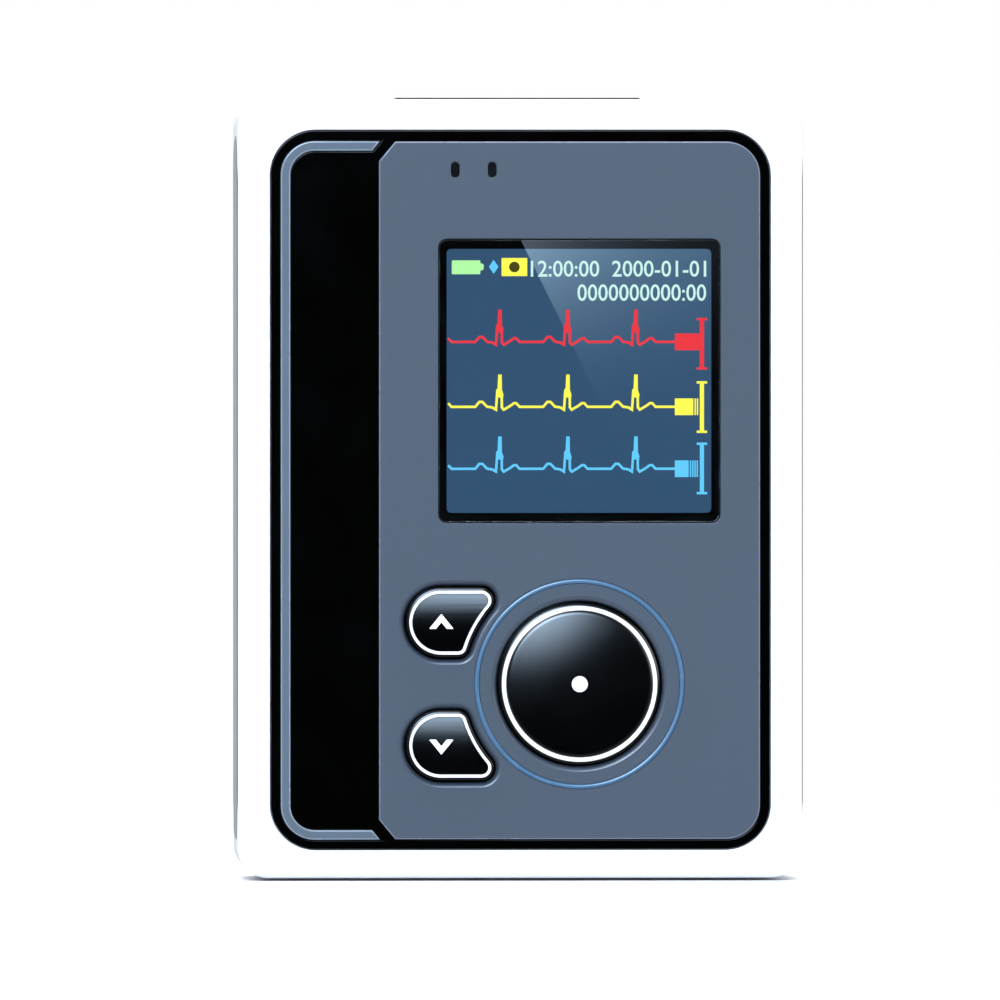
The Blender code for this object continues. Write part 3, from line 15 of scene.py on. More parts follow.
import bmesh
import bpy
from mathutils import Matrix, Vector

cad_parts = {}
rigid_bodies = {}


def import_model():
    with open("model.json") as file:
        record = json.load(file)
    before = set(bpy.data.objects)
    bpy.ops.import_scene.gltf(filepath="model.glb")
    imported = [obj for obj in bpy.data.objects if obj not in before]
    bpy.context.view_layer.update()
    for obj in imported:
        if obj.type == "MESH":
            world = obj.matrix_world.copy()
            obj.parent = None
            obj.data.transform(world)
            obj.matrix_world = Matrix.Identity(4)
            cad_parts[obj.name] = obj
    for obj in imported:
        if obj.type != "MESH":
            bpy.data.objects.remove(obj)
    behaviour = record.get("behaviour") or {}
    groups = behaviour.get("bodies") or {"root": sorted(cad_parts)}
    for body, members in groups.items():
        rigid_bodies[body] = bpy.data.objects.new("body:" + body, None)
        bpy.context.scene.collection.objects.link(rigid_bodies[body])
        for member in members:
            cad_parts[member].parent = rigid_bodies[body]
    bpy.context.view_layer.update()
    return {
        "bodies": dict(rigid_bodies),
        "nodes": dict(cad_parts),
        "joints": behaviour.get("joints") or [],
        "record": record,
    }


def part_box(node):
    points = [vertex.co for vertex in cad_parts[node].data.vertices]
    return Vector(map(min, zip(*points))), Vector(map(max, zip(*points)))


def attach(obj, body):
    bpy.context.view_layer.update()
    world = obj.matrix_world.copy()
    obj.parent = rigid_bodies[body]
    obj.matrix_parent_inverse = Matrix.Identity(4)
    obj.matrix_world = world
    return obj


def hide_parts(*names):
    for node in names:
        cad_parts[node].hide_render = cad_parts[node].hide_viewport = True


MM = 0.001
LOG = logging.getLogger("heart_recorder")
UPRIGHT = (math.pi / 2, 0.0, 0.0)

Point = tuple[float, float]
Place = tuple[float, float, float]
Corners = tuple[tuple[float, ...], ...]
Shape = bpy.types.Object
Tree = bpy.types.NodeTree
# What a node's inputs get: values or other nodes' outputs, in order or by name or number
Inputs = dict[str | int, Any] | Sequence[Any]


class Side(Enum):
    """The two long sides of the recorder, as the sign of X."""

    LEFT = -1
    RIGHT = 1


class Arrow(Enum):
    """The two side buttons, by the way their arrow points, as the sign of Z."""

    UP = 1
    DOWN = -1


class Lead(Enum):
    """The three traces on the display, from the top."""

    FIRST = 0
    SECOND = 1
    THIRD = 2


def linear(code: str) -> tuple[float, float, float, float]:
    """Turns an sRGB hex colour into linear values.

    Args:
        code: the colour, such as "#5A6A82"

    Returns:
        linear red, green, blue and a full alpha
    """
    shares = [int(code[n : n + 2], 16) / 255 for n in (1, 3, 5)]
    red, green, blue = [
        share / 12.92 if share <= 0.04045 else ((share + 0.055) / 1.055) ** 2.4 for share in shares
    ]
    return (red, green, blue, 1.0)


def add_node(tree: Tree, kind: str, inputs: Inputs = (), output: str | int = 0, **settings: Any) -> Any:
    """Adds a shader node with its settings, values and links.

    Args:
        tree: the node tree that the node goes into
        kind: the node's type
        inputs: what its inputs get
        output: which of its outputs is wanted
        settings: the node's own properties

    Returns:
        the wanted output, or the node if it has none
    """
    node = tree.nodes.new(f"ShaderNode{kind}")
    for name, value in settings.items():
        setattr(node, name, value)
    for name, value in (inputs if isinstance(inputs, dict) else dict(enumerate(inputs))).items():
        if isinstance(value, bpy.types.NodeSocket):
            tree.links.new(value, node.inputs[name])
        else:
            node.inputs[name].default_value = value
    return node.outputs[output] if node.outputs else node


# How fine and how rough the two noise patterns of a finish are
PATCH_NOISE = {"Detail": 3.0, "Roughness": 0.55}
GRAIN_NOISE = {"Detail": 2.0, "Roughness": 0.6}
# The values that most of a noise pattern lies between
NOISE_RANGE = (0.3, 0.7)
# How rough the clear lacquer over a finish is
LACQUER_ROUGHNESS = 0.06


@dataclass(frozen=True)
class Finish:
    """What a surface is made of, and what its making leaves on it.

    Args:
        name: the material's common name and how its surface was made
        colour: its main colour
        other: the colour that it drifts to in soft patches
        roughness: its lowest roughness
        spread: how much rougher it gets in patches
        patch: the size of those patches
        grain: the spacing of its grain, pits or brush lines
        relief: the depth of that grain
        stretch: how much longer than wide the grain is along X
        metallic: 1 for bare metal
        ior: refractive index, left at the usual value for a metal
        coat: share of clear lacquer over it
        sheen: soft glow at its edges
        fleck: how strongly single grains differ in brightness
    """

    name: str
    colour: str
    other: str
    roughness: float
    spread: float = 0.08
    patch: float = 6 * MM
    grain: float = 0.25 * MM
    relief: float = 0.002 * MM
    stretch: float = 1.0
    metallic: float = 0.0
    ior: float = 1.5
    coat: float = 0.0
    sheen: float = 0.0
    fleck: float = 0.0

    def make(self) -> bpy.types.Material:
        """Returns the finish as a material, made once and shared."""
        known = bpy.data.materials.get(self.name)
        return known or self.build()

    def build(self) -> bpy.types.Material:
        """Makes the material in object coordinates.

        Returns:
            the new material
        """
        material = bpy.data.materials.new(self.name)
        material.use_nodes = True
        tree = material.node_tree
        tree.nodes.clear()
        shown = self.draw(tree, add_node(tree, "TexCoord", output="Object"))
        add_node(tree, "OutputMaterial", [add_node(tree, "BsdfPrincipled", shown)])
        return material

    def draw(self, tree: Tree, place: Any) -> Inputs:
        """Draws soft patches of colour and gloss over a fine grain.

        Args:
            tree: the material's nodes
            place: object coordinates

        Returns:
            what the main shader gets
        """
        soft = {"Vector": place, "Scale": 1 / self.patch, **PATCH_NOISE}
        patches = add_node(tree, "TexNoise", soft, "Fac")
        scale = (1 / self.stretch, 1.0, 1.0)
        drawn = add_node(tree, "Mapping", {"Vector": place, "Scale": scale})
        fine = {"Vector": drawn, "Scale": 1 / self.grain, **GRAIN_NOISE}
        grain = add_node(tree, "TexNoise", fine, "Fac")
        pair = {0: patches, 6: linear(self.colour), 7: linear(self.other)}
        colour = add_node(tree, "Mix", pair, 2, data_type="RGBA")
        if self.fleck > 0:
            flake = (grain, *NOISE_RANGE, 1 - self.fleck, 1 + self.fleck)
            flake = add_node(tree, "MapRange", flake)
            colour = add_node(tree, "VectorMath", {0: colour, "Scale": flake}, operation="SCALE")
        rough = (patches, *NOISE_RANGE, self.roughness, self.roughness + self.spread)
        bump = {"Height": grain, "Distance": self.relief, "Strength": 1.0}
        return {
            "Base Color": colour, "Roughness": add_node(tree, "MapRange", rough),
            "Normal": add_node(tree, "Bump", bump), "Metallic": self.metallic, "IOR": self.ior,
            "Coat Weight": self.coat, "Coat Roughness": LACQUER_ROUGHNESS, "Sheen Weight": self.sheen,
        }


# White ABS from a spark-eroded mould: bright, with a fine even grain that scatters highlights
WHITE_ABS = Finish("moulded_white_abs", "#F1F2F6", "#ECEDF2", 0.40, ior=1.54, relief=0.003 * MM)
# Thermoplastic rubber, moulded on: slightly violet grey, its grey darkened to stand in for the shade
# along the case's sides, with a soft edge glow
SHADE_DARKENED_GREY_RUBBER = Finish(
    "moulded_grey_thermoplastic_rubber", "#61646C", "#5B5E66", 0.66, grain=0.18 * MM, relief=0.006 * MM,
    sheen=0.15, ior=1.52,
)
# Black polycarbonate from a polished mould: deep black, with slight swirls in the gloss
GLOSS_BLACK_POLYCARBONATE = Finish(
    "polished_black_polycarbonate", "#010101", "#020202", 0.05, spread=0.03, grain=0.6 * MM,
    relief=0.0002 * MM, ior=1.58,
)
# The same black, pad-polished by fingers: a softer gloss that spreads the softbox over the cap
CAP_BLACK = Finish(
    "finger_polished_black_polycarbonate", "#010101", "#020203", 0.12, spread=0.03, grain=0.5 * MM,
    relief=0.0002 * MM, ior=1.58,
)
# Satin metallic lacquer on ABS: blue grey with fine flakes, drifting a little towards violet
PANEL_LACQUER = Finish(
    "satin_blue_grey_lacquer", "#333F4B", "#38404F", 0.42, spread=0.06, patch=14 * MM, grain=0.16 * MM,
    relief=0.001 * MM, metallic=0.12, coat=0.6, fleck=0.05,
)
# A paler, shinier lacquer on the panel's rounded edges: a painted highlight along them
PANEL_EDGE_HIGHLIGHT = Finish("rubbed_blue_grey_lacquer_edge", "#777B8B", "#707485", 0.25, metallic=0.2, coat=0.6)
# The same lacquer, lighter, on the accent trim
TRIM_LACQUER = Finish(
    "satin_pale_blue_lacquer", "#46525F", "#4C5965", 0.38, patch=9 * MM, grain=0.16 * MM,
    relief=0.001 * MM, metallic=0.12, coat=0.6, fleck=0.05,
)
# A paler lacquer on the trim's rounded edges: a painted highlight along them
TRIM_EDGE_HIGHLIGHT = Finish("rubbed_pale_blue_lacquer_edge", "#8793A0", "#7F8B99", 0.25, metallic=0.2, coat=0.6)
# Tinted acrylic let into the panel: a clear even blue under a gloss skin
BLUE_ACRYLIC = Finish(
    "tinted_blue_acrylic", "#3F6381", "#3C5F7D", 0.22, grain=0.5 * MM, relief=0.0005 * MM, coat=0.4,
    ior=1.49,
)
# Polished white ABS: bright, wet-looking highlights on a pure white
POLISHED_WHITE_ABS = Finish(
    "polished_white_abs", "#FAFBFD", "#F4F6FA", 0.14, grain=0.4 * MM, relief=0.0004 * MM, coat=0.5,
    ior=1.54,
)
# Black glass-filled nylon of the socket: matte, with fibres that run along it
SOCKET_NYLON = Finish(
    "moulded_black_glass_filled_nylon", "#17171A", "#1E1E22", 0.46, grain=0.12 * MM, relief=0.004 * MM,
    stretch=4.0, ior=1.53,
)
# Smoked polycarbonate of the light pipes: nearly black, smooth
SMOKED_POLYCARBONATE = Finish(
    "smoked_polycarbonate", "#050608", "#08090B", 0.12, grain=0.4 * MM, ior=1.58
)
# Zinc-plated steel: bright grey with a faint drawn grain
PLATED_STEEL = Finish(
    "zinc_plated_steel", "#C2C4C8", "#B2B5BA", 0.26, patch=2 * MM, grain=0.12 * MM, relief=0.001 * MM,
    stretch=5.0, metallic=1.0,
)
# Tin-plated steel of cans and contacts: soft grey, slightly cloudy
TINNED_STEEL = Finish(
    "tin_plated_steel", "#D2D3D6", "#C2C4C8", 0.30, patch=3 * MM, grain=0.2 * MM, relief=0.001 * MM,
    metallic=1.0,
)
# Gold plate over nickel on the contacts: warm and smooth
GOLD_PLATE = Finish(
    "gold_plated_bronze", "#E6BC62", "#DDB056", 0.22, patch=2 * MM, grain=0.2 * MM, relief=0.0005 * MM,
    metallic=1.0,
)
# Turned brass of the inserts, with a fine grain from the tool
TURNED_BRASS = Finish(
    "turned_brass", "#C9A45A", "#BE9850", 0.30, grain=0.1 * MM, relief=0.002 * MM, metallic=1.0
)
# Silicone rubber of the seal: dark and dull
SILICONE = Finish(
    "moulded_silicone_rubber", "#4A4A4D", "#525255", 0.72, grain=0.3 * MM, sheen=0.1, ior=1.41
)
# Closed-cell foam of the door pad: dull, with open pits
CLOSED_CELL_FOAM = Finish(
    "closed_cell_foam", "#1C1C1E", "#2A2A2D", 0.9, grain=0.35 * MM, relief=0.08 * MM, sheen=0.3,
    fleck=0.4, ior=1.45,
)
# Epoxy mould compound of the chips: dark grey with a fine blasted face
CHIP_EPOXY = Finish(
    "epoxy_mould_compound", "#1D1E20", "#232427", 0.55, grain=0.1 * MM, relief=0.003 * MM, ior=1.57
)
# Amber polyimide of the flat cable: a slightly mottled gloss
POLYIMIDE = Finish(
    "amber_polyimide_film", "#B56A1C", "#C27A2A", 0.28, grain=0.5 * MM, coat=0.3, fleck=0.15
)
# White diffuser film of the backlight and lamps
DIFFUSER_FILM = Finish(
    "white_diffuser_film", "#EDEFF2", "#E6E9EE", 0.5, grain=0.15 * MM, relief=0.002 * MM
)
# Matte paper that the recorder stands on
PAPER = Finish(
    "matte_white_paper", "#F4F4F6", "#F4F4F6", 0.9, patch=80 * MM, grain=1.2 * MM, relief=0.01 * MM
)


@dataclass(frozen=True)
class BoardFinish(Finish):
    """Green solder mask over copper runs: the runs lie a little lighter under the mask.

    Args:
        pitch: the spacing of the copper runs
        track: how wide they are
        run: how long they are
        blur: how soft their edges look under the mask
    """

    pitch: float = 1.27 * MM
    track: float = 1.27 * MM / 8
    run: float = 5 * 1.27 * MM
    blur: float = 0.1

    def draw(self, tree: Tree, place: Any) -> Inputs:
        """Draws square-cornered runs under a glossy mask.

        Args:
            tree: the material's nodes
            place: object coordinates

        Returns:
            what the main shader gets
        """
        colour = linear(self.colour)
        inputs = {
            "Vector": add_node(tree, "Mapping", {"Vector": place, "Rotation": UPRIGHT}),
            "Color1": colour, "Color2": colour, "Mortar": linear(self.other), "Scale": 1.0,
            "Mortar Size": self.track, "Mortar Smooth": self.blur, "Brick Width": self.run,
            "Row Height": self.pitch,
        }
        runs = add_node(tree, "TexBrick", inputs, "Color")
        bump = {"Height": runs.node.outputs["Fac"], "Distance": self.relief, "Strength": 1.0}
        return {
            "Base Color": runs, "Roughness": self.roughness, "Normal": add_node(tree, "Bump", bump),
            "IOR": self.ior, "Coat Weight": self.coat,
        }


# Glass-epoxy board under solder mask, with 35 micrometre copper that lifts the mask
BOARD = BoardFinish(
    "solder_masked_glass_epoxy", "#0E5A34", "#2A7E4E", 0.35, relief=0.035 * MM, coat=0.3
)


@dataclass(frozen=True)
class SleeveFinish(Finish):
    """The cell's printed sleeve, with bare steel past its ends along X.

    Args:
        left: where the sleeve begins
        right: where the sleeve ends
        band: the share of the sleeve that has the second colour
        steel: the colour of the bare ends
    """

    left: float = 0.0
    right: float = 0.0
    band: float = 0.25
    steel: str = "#C4C6CA"

    def draw(self, tree: Tree, place: Any) -> Inputs:
        """Draws a sleeve in two colours between steel ends.

        Args:
            tree: the material's nodes
            place: object coordinates

        Returns:
            what the main shader gets
        """
        across = add_node(tree, "SeparateXYZ", [place], "X")
        last = self.right - self.band * (self.right - self.left)
        past_left = add_node(tree, "Math", (across, self.left), operation="LESS_THAN")
        past_right = add_node(tree, "Math", (across, self.right), operation="GREATER_THAN")
        banded = add_node(tree, "Math", (across, last), operation="GREATER_THAN")
        bare = add_node(tree, "Math", (past_left, past_right), operation="MAXIMUM")
        pair = {0: banded, 6: linear(self.colour), 7: linear(self.other)}
        ends = {0: bare, 6: add_node(tree, "Mix", pair, 2, data_type="RGBA"), 7: linear(self.steel)}
        grain = add_node(tree, "TexNoise", {"Vector": place, "Scale": 1 / self.grain}, "Fac")
        bump = {"Height": grain, "Distance": self.relief, "Strength": 1.0}
        return {
            "Base Color": add_node(tree, "Mix", ends, 2, data_type="RGBA"), "Metallic": bare,
            "Roughness": self.roughness, "Normal": add_node(tree, "Bump", bump),
        }


# Printed film shrunk onto the cell: dark blue, with a bronze band at the nub's end
CELL_SLEEVE = SleeveFinish("printed_cell_sleeve", "#2B3A52", "#B9873C", 0.28, relief=0.0005 * MM)


@dataclass(frozen=True)
class GlassFinish(Finish):
    """Clear acrylic of the display window, polished on both faces."""

    def draw(self, tree: Tree, place: Any) -> Inputs:
        """Draws clear acrylic with a trace of haze in the polish.

        Args:
            tree: the material's nodes
            place: object coordinates

        Returns:
            what the main shader gets
        """
        haze = add_node(tree, "TexNoise", {"Vector": place, "Scale": 1 / self.patch}, "Fac")
        rough = (haze, 0.0, 1.0, self.roughness, self.roughness + self.spread)
        return {
            "Base Color": linear(self.colour), "Roughness": add_node(tree, "MapRange", rough),
            "IOR": self.ior, "Transmission Weight": 1.0,
        }


CLEAR_ACRYLIC = GlassFinish("clear_acrylic", "#FFFFFF", "#FFFFFF", 0.0, spread=0.01, ior=1.49)


@dataclass(frozen=True)
class LitFinish(Finish):
    """A lit part of the display: it glows through a fine grid of picture dots, and can carry a painted
    reflection of a window.

    Args:
        glow: the brightness of its light
        painted_reflection_colour: the colour of a window's reflection, painted onto the glow, or none
        dots: how much darker the gaps between the picture dots are
        pitch: the spacing of the picture dots
        gap: how wide the gaps between them are
        blur: how soft the dots' edges are
        unlit: the colour of the switched-off picture
        shine: how strongly it mirrors
        start: where the painted reflection's slanting edge begins, across and up
        slant: the direction square to that edge, across and up
        fade: how far from its edge the painted reflection has fallen to a third
        low: the height at which the painted reflection is gone
        high: the height at which it is full
        fall: the power by which it fades downwards
    """

    glow: float = 1.13
    painted_reflection_colour: str = ""
    dots: float = 0.04
    pitch: float = 0.116 * MM
    gap: float = 0.0116 * MM
    blur: float = 0.5
    unlit: str = "#030405"
    shine: float = 0.02
    start: Point = (0.49 * MM, 66.1 * MM)
    slant: Point = (0.8975, 0.441)
    fade: float = 11.0 * MM
    low: float = 45.0 * MM
    high: float = 66.9 * MM
    fall: float = 3.0

    def reflection(self, tree: Tree, place: Any) -> Any:
        """Draws a painted reflection of a window: bright along a slanting edge and fading off to the
        right.

        Args:
            tree: the material's nodes
            place: object coordinates

        Returns:
            the painted reflection's strength, up to 1
        """
        offset = self.start[0] * self.slant[0] + self.start[1] * self.slant[1]
        across = (place, (self.slant[0], 0.0, self.slant[1]))
        along = add_node(tree, "VectorMath", across, "Value", operation="DOT_PRODUCT")
        height = add_node(tree, "SeparateXYZ", [place], "Z")
        rising = add_node(tree, "MapRange", (height, self.low, self.high))
        past = (along, -1 / self.fade, offset / self.fade)
        past = add_node(tree, "Math", past, operation="MULTIPLY_ADD")
        strength = add_node(tree, "MapRange", (along, offset, offset + self.pitch))
        for share in (
            add_node(tree, "Math", [past], operation="EXPONENT"),
            add_node(tree, "Math", (rising, self.fall), operation="POWER"),
        ):
            strength = add_node(tree, "Math", (strength, share), operation="MULTIPLY")
        return strength

    def draw(self, tree: Tree, place: Any) -> Inputs:
        """Draws light through picture dots, with a faint painted reflection of a window added to it.

        Args:
            tree: the material's nodes
            place: object coordinates

        Returns:
            what the main shader gets
        """
        white, dimmed = linear("#FFFFFF"), (*[1 - self.dots] * 3, 1.0)
        dots = {
            "Vector": add_node(tree, "Mapping", {"Vector": place, "Rotation": UPRIGHT}),
            "Color1": white, "Color2": white, "Mortar": dimmed, "Scale": 1.0, "Mortar Size": self.gap,
            "Mortar Smooth": self.blur, "Brick Width": self.pitch, "Row Height": self.pitch,
        }
        grid = add_node(tree, "TexBrick", dots, "Color", offset=0.0)
        cloud = add_node(tree, "TexNoise", {"Vector": place, "Scale": 1 / self.patch}, "Fac")
        pair = {0: cloud, 6: linear(self.colour), 7: linear(self.other)}
        lit = {0: 1.0, 6: add_node(tree, "Mix", pair, 2, data_type="RGBA"), 7: grid}
        light = add_node(tree, "Mix", lit, 2, data_type="RGBA", blend_type="MULTIPLY")
        # The window's reflection is painted: a colour added to the emitted light, fixed in object
        # coordinates
        if self.painted_reflection_colour:
            painted_reflection_mix = {0: self.reflection(tree, place), 6: light, 7: linear(self.painted_reflection_colour)}
            light = add_node(tree, "Mix", painted_reflection_mix, 2, data_type="RGBA", blend_type="ADD")
        return {
            "Base Color": linear(self.unlit), "Roughness": self.roughness, "Emission Color": light,
            "Emission Strength": self.glow, "Specular IOR Level": self.shine,
        }


# Liquid crystal over a blue-grey backlight: an even glow, with a window's soft reflection painted into
# it
LIT_BACKGROUND = LitFinish(
    "lit_liquid_crystal", "#325170", "#345372", 0.3, patch=20 * MM, painted_reflection_colour="#748B98"
)
# Black print behind the window: a dead black that glows only with a painted reflection of a window
BLACK_PRINT = LitFinish(
    "black_printed_acrylic", "#010101", "#020202", 0.35, patch=4 * MM, painted_reflection_colour="#505A66", dots=0.0,
    fade=7.0 * MM,
)
# Picture dots switched to one colour
LIT_GREEN = LitFinish("lit_green_dots", "#B4FDAA", "#B0F6A4", 0.3)
LIT_YELLOW = LitFinish("lit_yellow_dots", "#FFFF58", "#FBF854", 0.3)
LIT_RED = LitFinish("lit_red_dots", "#EE3C46", "#E83A44", 0.3)
LIT_BLUE = LitFinish("lit_blue_dots", "#65CFFF", "#62C8F8", 0.3)
LIT_MINT = LitFinish("lit_mint_dots", "#CDF6EE", "#C6F0E8", 0.3)
DARK_DOTS = LitFinish("dark_dots", "#4A4A18", "#44441A", 0.3)

# Two points closer than this are one point
SAME = 0.5e-6
# A point this near a plane lies on it
TOUCH = 4e-6
# How far a drawn arc may depart from the true one, and the fewest steps that it has
SAG = 1.5e-6
LEAST_STEPS = 3
# Edges that turn more than this are worth rounding
SHARP = math.radians(40)
# How far cutters reach past what they cut
PAST = 1.0 * MM
# The four screws of a set, by number
SCREWS = range(1, 5)
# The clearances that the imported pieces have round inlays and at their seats
INLAY_GAP = 0.12 * MM
SEAT_GAP = 0.30 * MM


class Plane(Enum):
    """The planes that outlines are drawn on: the axes across, up and through each."""

    FRONT = ((1.0, 0.0, 0.0), (0.0, 0.0, 1.0), (0.0, 1.0, 0.0))
    TOP = ((1.0, 0.0, 0.0), (0.0, 1.0, 0.0), (0.0, 0.0, 1.0))
    SIDE = ((0.0, 1.0, 0.0), (0.0, 0.0, 1.0), (1.0, 0.0, 0.0))

    def place(self, across: float, up: float, deep: float) -> Vector:
        """Returns a point of the plane at a depth, in space."""
        first, second, third = (Vector(axis) for axis in self.value)
        return across * first + up * second + deep * third

    @property
    def axis(self) -> Vector:
        """Returns the axis through the plane."""
        return Vector(self.value[2])

    @property
    def turning(self) -> Vector:
        """Returns the axis that a spin takes to turn from across to up."""
        return Vector(self.value[1]).cross(Vector(self.value[0]))


@dataclass(frozen=True)
class Bend:
    """One arc of an outline, or a sharp corner where its radius is zero.

    Args:
        across: the place of its centre
        up: the place of its centre
        radius: its radius
        start: the angle that it starts at
        sweep: the angle that it turns through
    """

    across: float
    up: float
    radius: float = 0.0
    start: float = 0.0
    sweep: float = 0.0

    def point(self, angle: float) -> Point:
        """Returns the point at an angle."""
        return (self.across + self.radius * math.cos(angle), self.up + self.radius * math.sin(angle))

    @property
    def steps(self) -> int:
        """Returns how many straight steps stand for the arc."""
        step = math.sqrt(8 * SAG / self.radius)
        return max(LEAST_STEPS, math.ceil(abs(self.sweep) / step))


Outline = list[Bend]


@dataclass(frozen=True)
class Corner:
    """A corner of a polygon, and the radius that it is rounded to."""

    across: float
    up: float
    radius: float = 0.0


def rounded(places: Sequence[tuple[float, ...]]) -> Outline:
    """Rounds the corners of a polygon.

    Args:
        places: each corner's place across and up, and its radius if it isn't sharp

    Returns:
        the outline
    """
    outline = []
    corners = [Corner(*place) for place in places]
    for number, corner in enumerate(corners):
        before = corners[number - 1]
        after = corners[(number + 1) % len(corners)]
        arrive = math.atan2(corner.up - before.up, corner.across - before.across)
        leave = math.atan2(after.up - corner.up, after.across - corner.across)
        turn = (leave - arrive + math.pi) % (2 * math.pi) - math.pi
        if corner.radius <= 0:
            outline.append(Bend(corner.across, corner.up))
            continue
        side = math.copysign(1.0, turn)
        back = corner.radius * math.tan(abs(turn) / 2)
        start = (corner.across - back * math.cos(arrive), corner.up - back * math.sin(arrive))
        outline.append(
            Bend(
                start[0] - side * corner.radius * math.sin(arrive),
                start[1] + side * corner.radius * math.cos(arrive), corner.radius,
                arrive - side * math.pi / 2, turn,
            )
        )
    return outline


def rectangle(left: float, right: float, bottom: float, top: float, radius: float) -> Outline:
    """Draws a rectangle with round corners."""
    corners = ((left, bottom), (right, bottom), (right, top), (left, top))
    return rounded([(*corner, radius) for corner in corners])


def around(node: str, grow: float, radius: float, plane: Plane = Plane.FRONT) -> Outline:
    """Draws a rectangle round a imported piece.

    Args:
        node: the piece
        grow: how far outside its box the rectangle lies
        radius: the radius of its corners
        plane: the plane that it is drawn on

    Returns:
        the outline
    """
    low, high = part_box(node)
    (left, right), (bottom, top) = [
        (low.dot(Vector(axis)) - grow, high.dot(Vector(axis)) + grow) for axis in plane.value[:2]
    ]
    return rectangle(left, right, bottom, top, radius)


def circle(across: float, up: float, radius: float) -> Outline:
    """Returns a full circle."""
    return [Bend(across, up, radius, 0.0, 2 * math.pi)]


def shifted(outline: Outline, across: float, up: float) -> Outline:
    """Returns an outline moved on its plane."""
    return [replace(bend, across=bend.across + across, up=bend.up + up) for bend in outline]


def middle(node: str) -> Vector:
    """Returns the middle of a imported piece's box."""
    low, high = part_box(node)
    return (low + high) / 2


def clear_selection() -> None:
    """Leaves nothing selected."""
    bpy.ops.object.select_all(action="DESELECT")


def select(shape: Shape) -> None:
    """Selects one object alone and makes it the active one.

    Args:
        shape: the object
    """
    clear_selection()
    shape.select_set(True)
    bpy.context.view_layer.objects.active = shape


@contextmanager
def editing(shape: Shape, kind: str = "VERT") -> Iterator[None]:
    """Opens an object for editing, all of it selected.

    Args:
        shape: the object
        kind: what is selected: "VERT", "EDGE" or "FACE"
    """
    select(shape)
    bpy.ops.object.mode_set(mode="EDIT")
    bpy.ops.mesh.select_mode(type=kind)
    bpy.ops.mesh.select_all(action="SELECT")
    yield
    bpy.ops.object.mode_set(mode="OBJECT")


class Pen:
    """Draws a line through space in edit mode, one vertex after the other."""

    def __init__(self, name: str, start: Vector) -> None:
        """Puts the first vertex down.

        Args:
            name: the new object's name
            start: where the line starts
        """
        clear_selection()
        bpy.ops.mesh.primitive_plane_add(size=MM, location=start)
        bpy.ops.object.transform_apply()
        self.shape = bpy.context.object
        self.shape.name = name
        self.place = start.copy()
        bpy.ops.object.mode_set(mode="EDIT")
        bpy.ops.mesh.select_mode(type="VERT")
        bpy.ops.mesh.select_all(action="SELECT")
        bpy.ops.mesh.merge(type="CENTER")

    def line_to(self, place: Vector) -> None:
        """Draws a straight line, unless the pen is there already.

        Args:
            place: where the line ends
        """
        move = place - self.place
        if move.length > SAME:
            bpy.ops.mesh.extrude_region_move(TRANSFORM_OT_translate={"value": move})
            self.place = place.copy()

    def follow(self, outline: Outline, plane: Plane, deep: float) -> None:
        """Draws an outline and comes back to its start.

        Args:
            outline: the arcs and corners
            plane: the plane that it lies on
            deep: the depth of that plane
        """
        for bend in outline:
            self.line_to(plane.place(*bend.point(bend.start), deep))
            if bend.sweep:
                bpy.ops.mesh.spin(
                    steps=bend.steps, angle=bend.sweep, center=plane.place(bend.across, bend.up, deep),
                    axis=plane.turning, use_auto_merge=False,
                )
                self.place = plane.place(*bend.point(bend.start + bend.sweep), deep)
        self.line_to(plane.place(*outline[0].point(outline[0].start), deep))

    def join_ends(self) -> None:
        """Makes one vertex of those that lie on each other."""
        bpy.ops.mesh.select_all(action="SELECT")
        bpy.ops.mesh.remove_doubles(threshold=SAME)

    def lift(self) -> Shape:
        """Turns all faces outwards and leaves edit mode.

        Returns:
            the finished shape
        """
        self.join_ends()
        bpy.ops.mesh.normals_make_consistent(inside=False)
        bpy.ops.object.mode_set(mode="OBJECT")
        return self.shape


def slab(name: str, outline: Outline, near: float, far: float, plane: Plane = Plane.FRONT) -> Shape:
    """Draws an outline, fills it and extrudes it.

    Args:
        name: the new object's name
        outline: its outline
        near: the depth that it starts at
        far: the depth that it ends at
        plane: the plane of the outline

    Returns:
        the closed solid
    """
    pen = Pen(name, plane.place(*outline[0].point(outline[0].start), near))
    pen.follow(outline, plane, near)
    pen.join_ends()
    bpy.ops.mesh.edge_face_add()
    bpy.ops.mesh.extrude_region_move(
        TRANSFORM_OT_translate={"value": plane.place(0.0, 0.0, far - near)}
    )
    return pen.lift()


def turned(
    name: str, place: Point, profile: Sequence[Point], plane: Plane = Plane.FRONT, steps: int = 48
) -> Shape:
    """Draws a profile and spins it right round, as on a lathe.

    Args:
        name: the new object's name
        place: where the axis stands on the plane
        profile: the radius and the depth of each point; the axis closes it at both ends
        plane: the plane that the axis stands on
        steps: how many steps the turn has

    Returns:
        the closed solid
    """
    centre, radial = plane.place(*place, 0.0), Vector(plane.value[0])
    places = [centre + radius * radial + deep * plane.axis for radius, deep in profile]
    pen = Pen(name, places[0])
    for corner in places[1:]:
        pen.line_to(corner)
    if min(radius for radius, _ in profile) > SAME:
        pen.line_to(places[0])
    pen.join_ends()
    bpy.ops.mesh.spin(
        steps=steps, angle=2 * math.pi, center=centre, axis=plane.axis, use_auto_merge=False
    )
    return pen.lift()


def block(name: str, low: Place, high: Place) -> Shape:
    """Adds a block between two corners, to cut with or to build on.

    Args:
        name: the new object's name
        low: its lowest corner
        high: its highest corner

    Returns:
        the block
    """
    clear_selection()
    first, last = Vector(low), Vector(high)
    bpy.ops.mesh.primitive_cube_add(size=1.0, location=(first + last) / 2, scale=last - first)
    bpy.ops.object.transform_apply()
    shape = bpy.context.object
    shape.name = name
    return shape


def beam(name: str, half: float, low: Point, high: Point) -> Shape:
    """Adds a block that reaches equally far to both sides, given its corners in depth and height."""
    return block(name, (-half, *low), (half, *high))


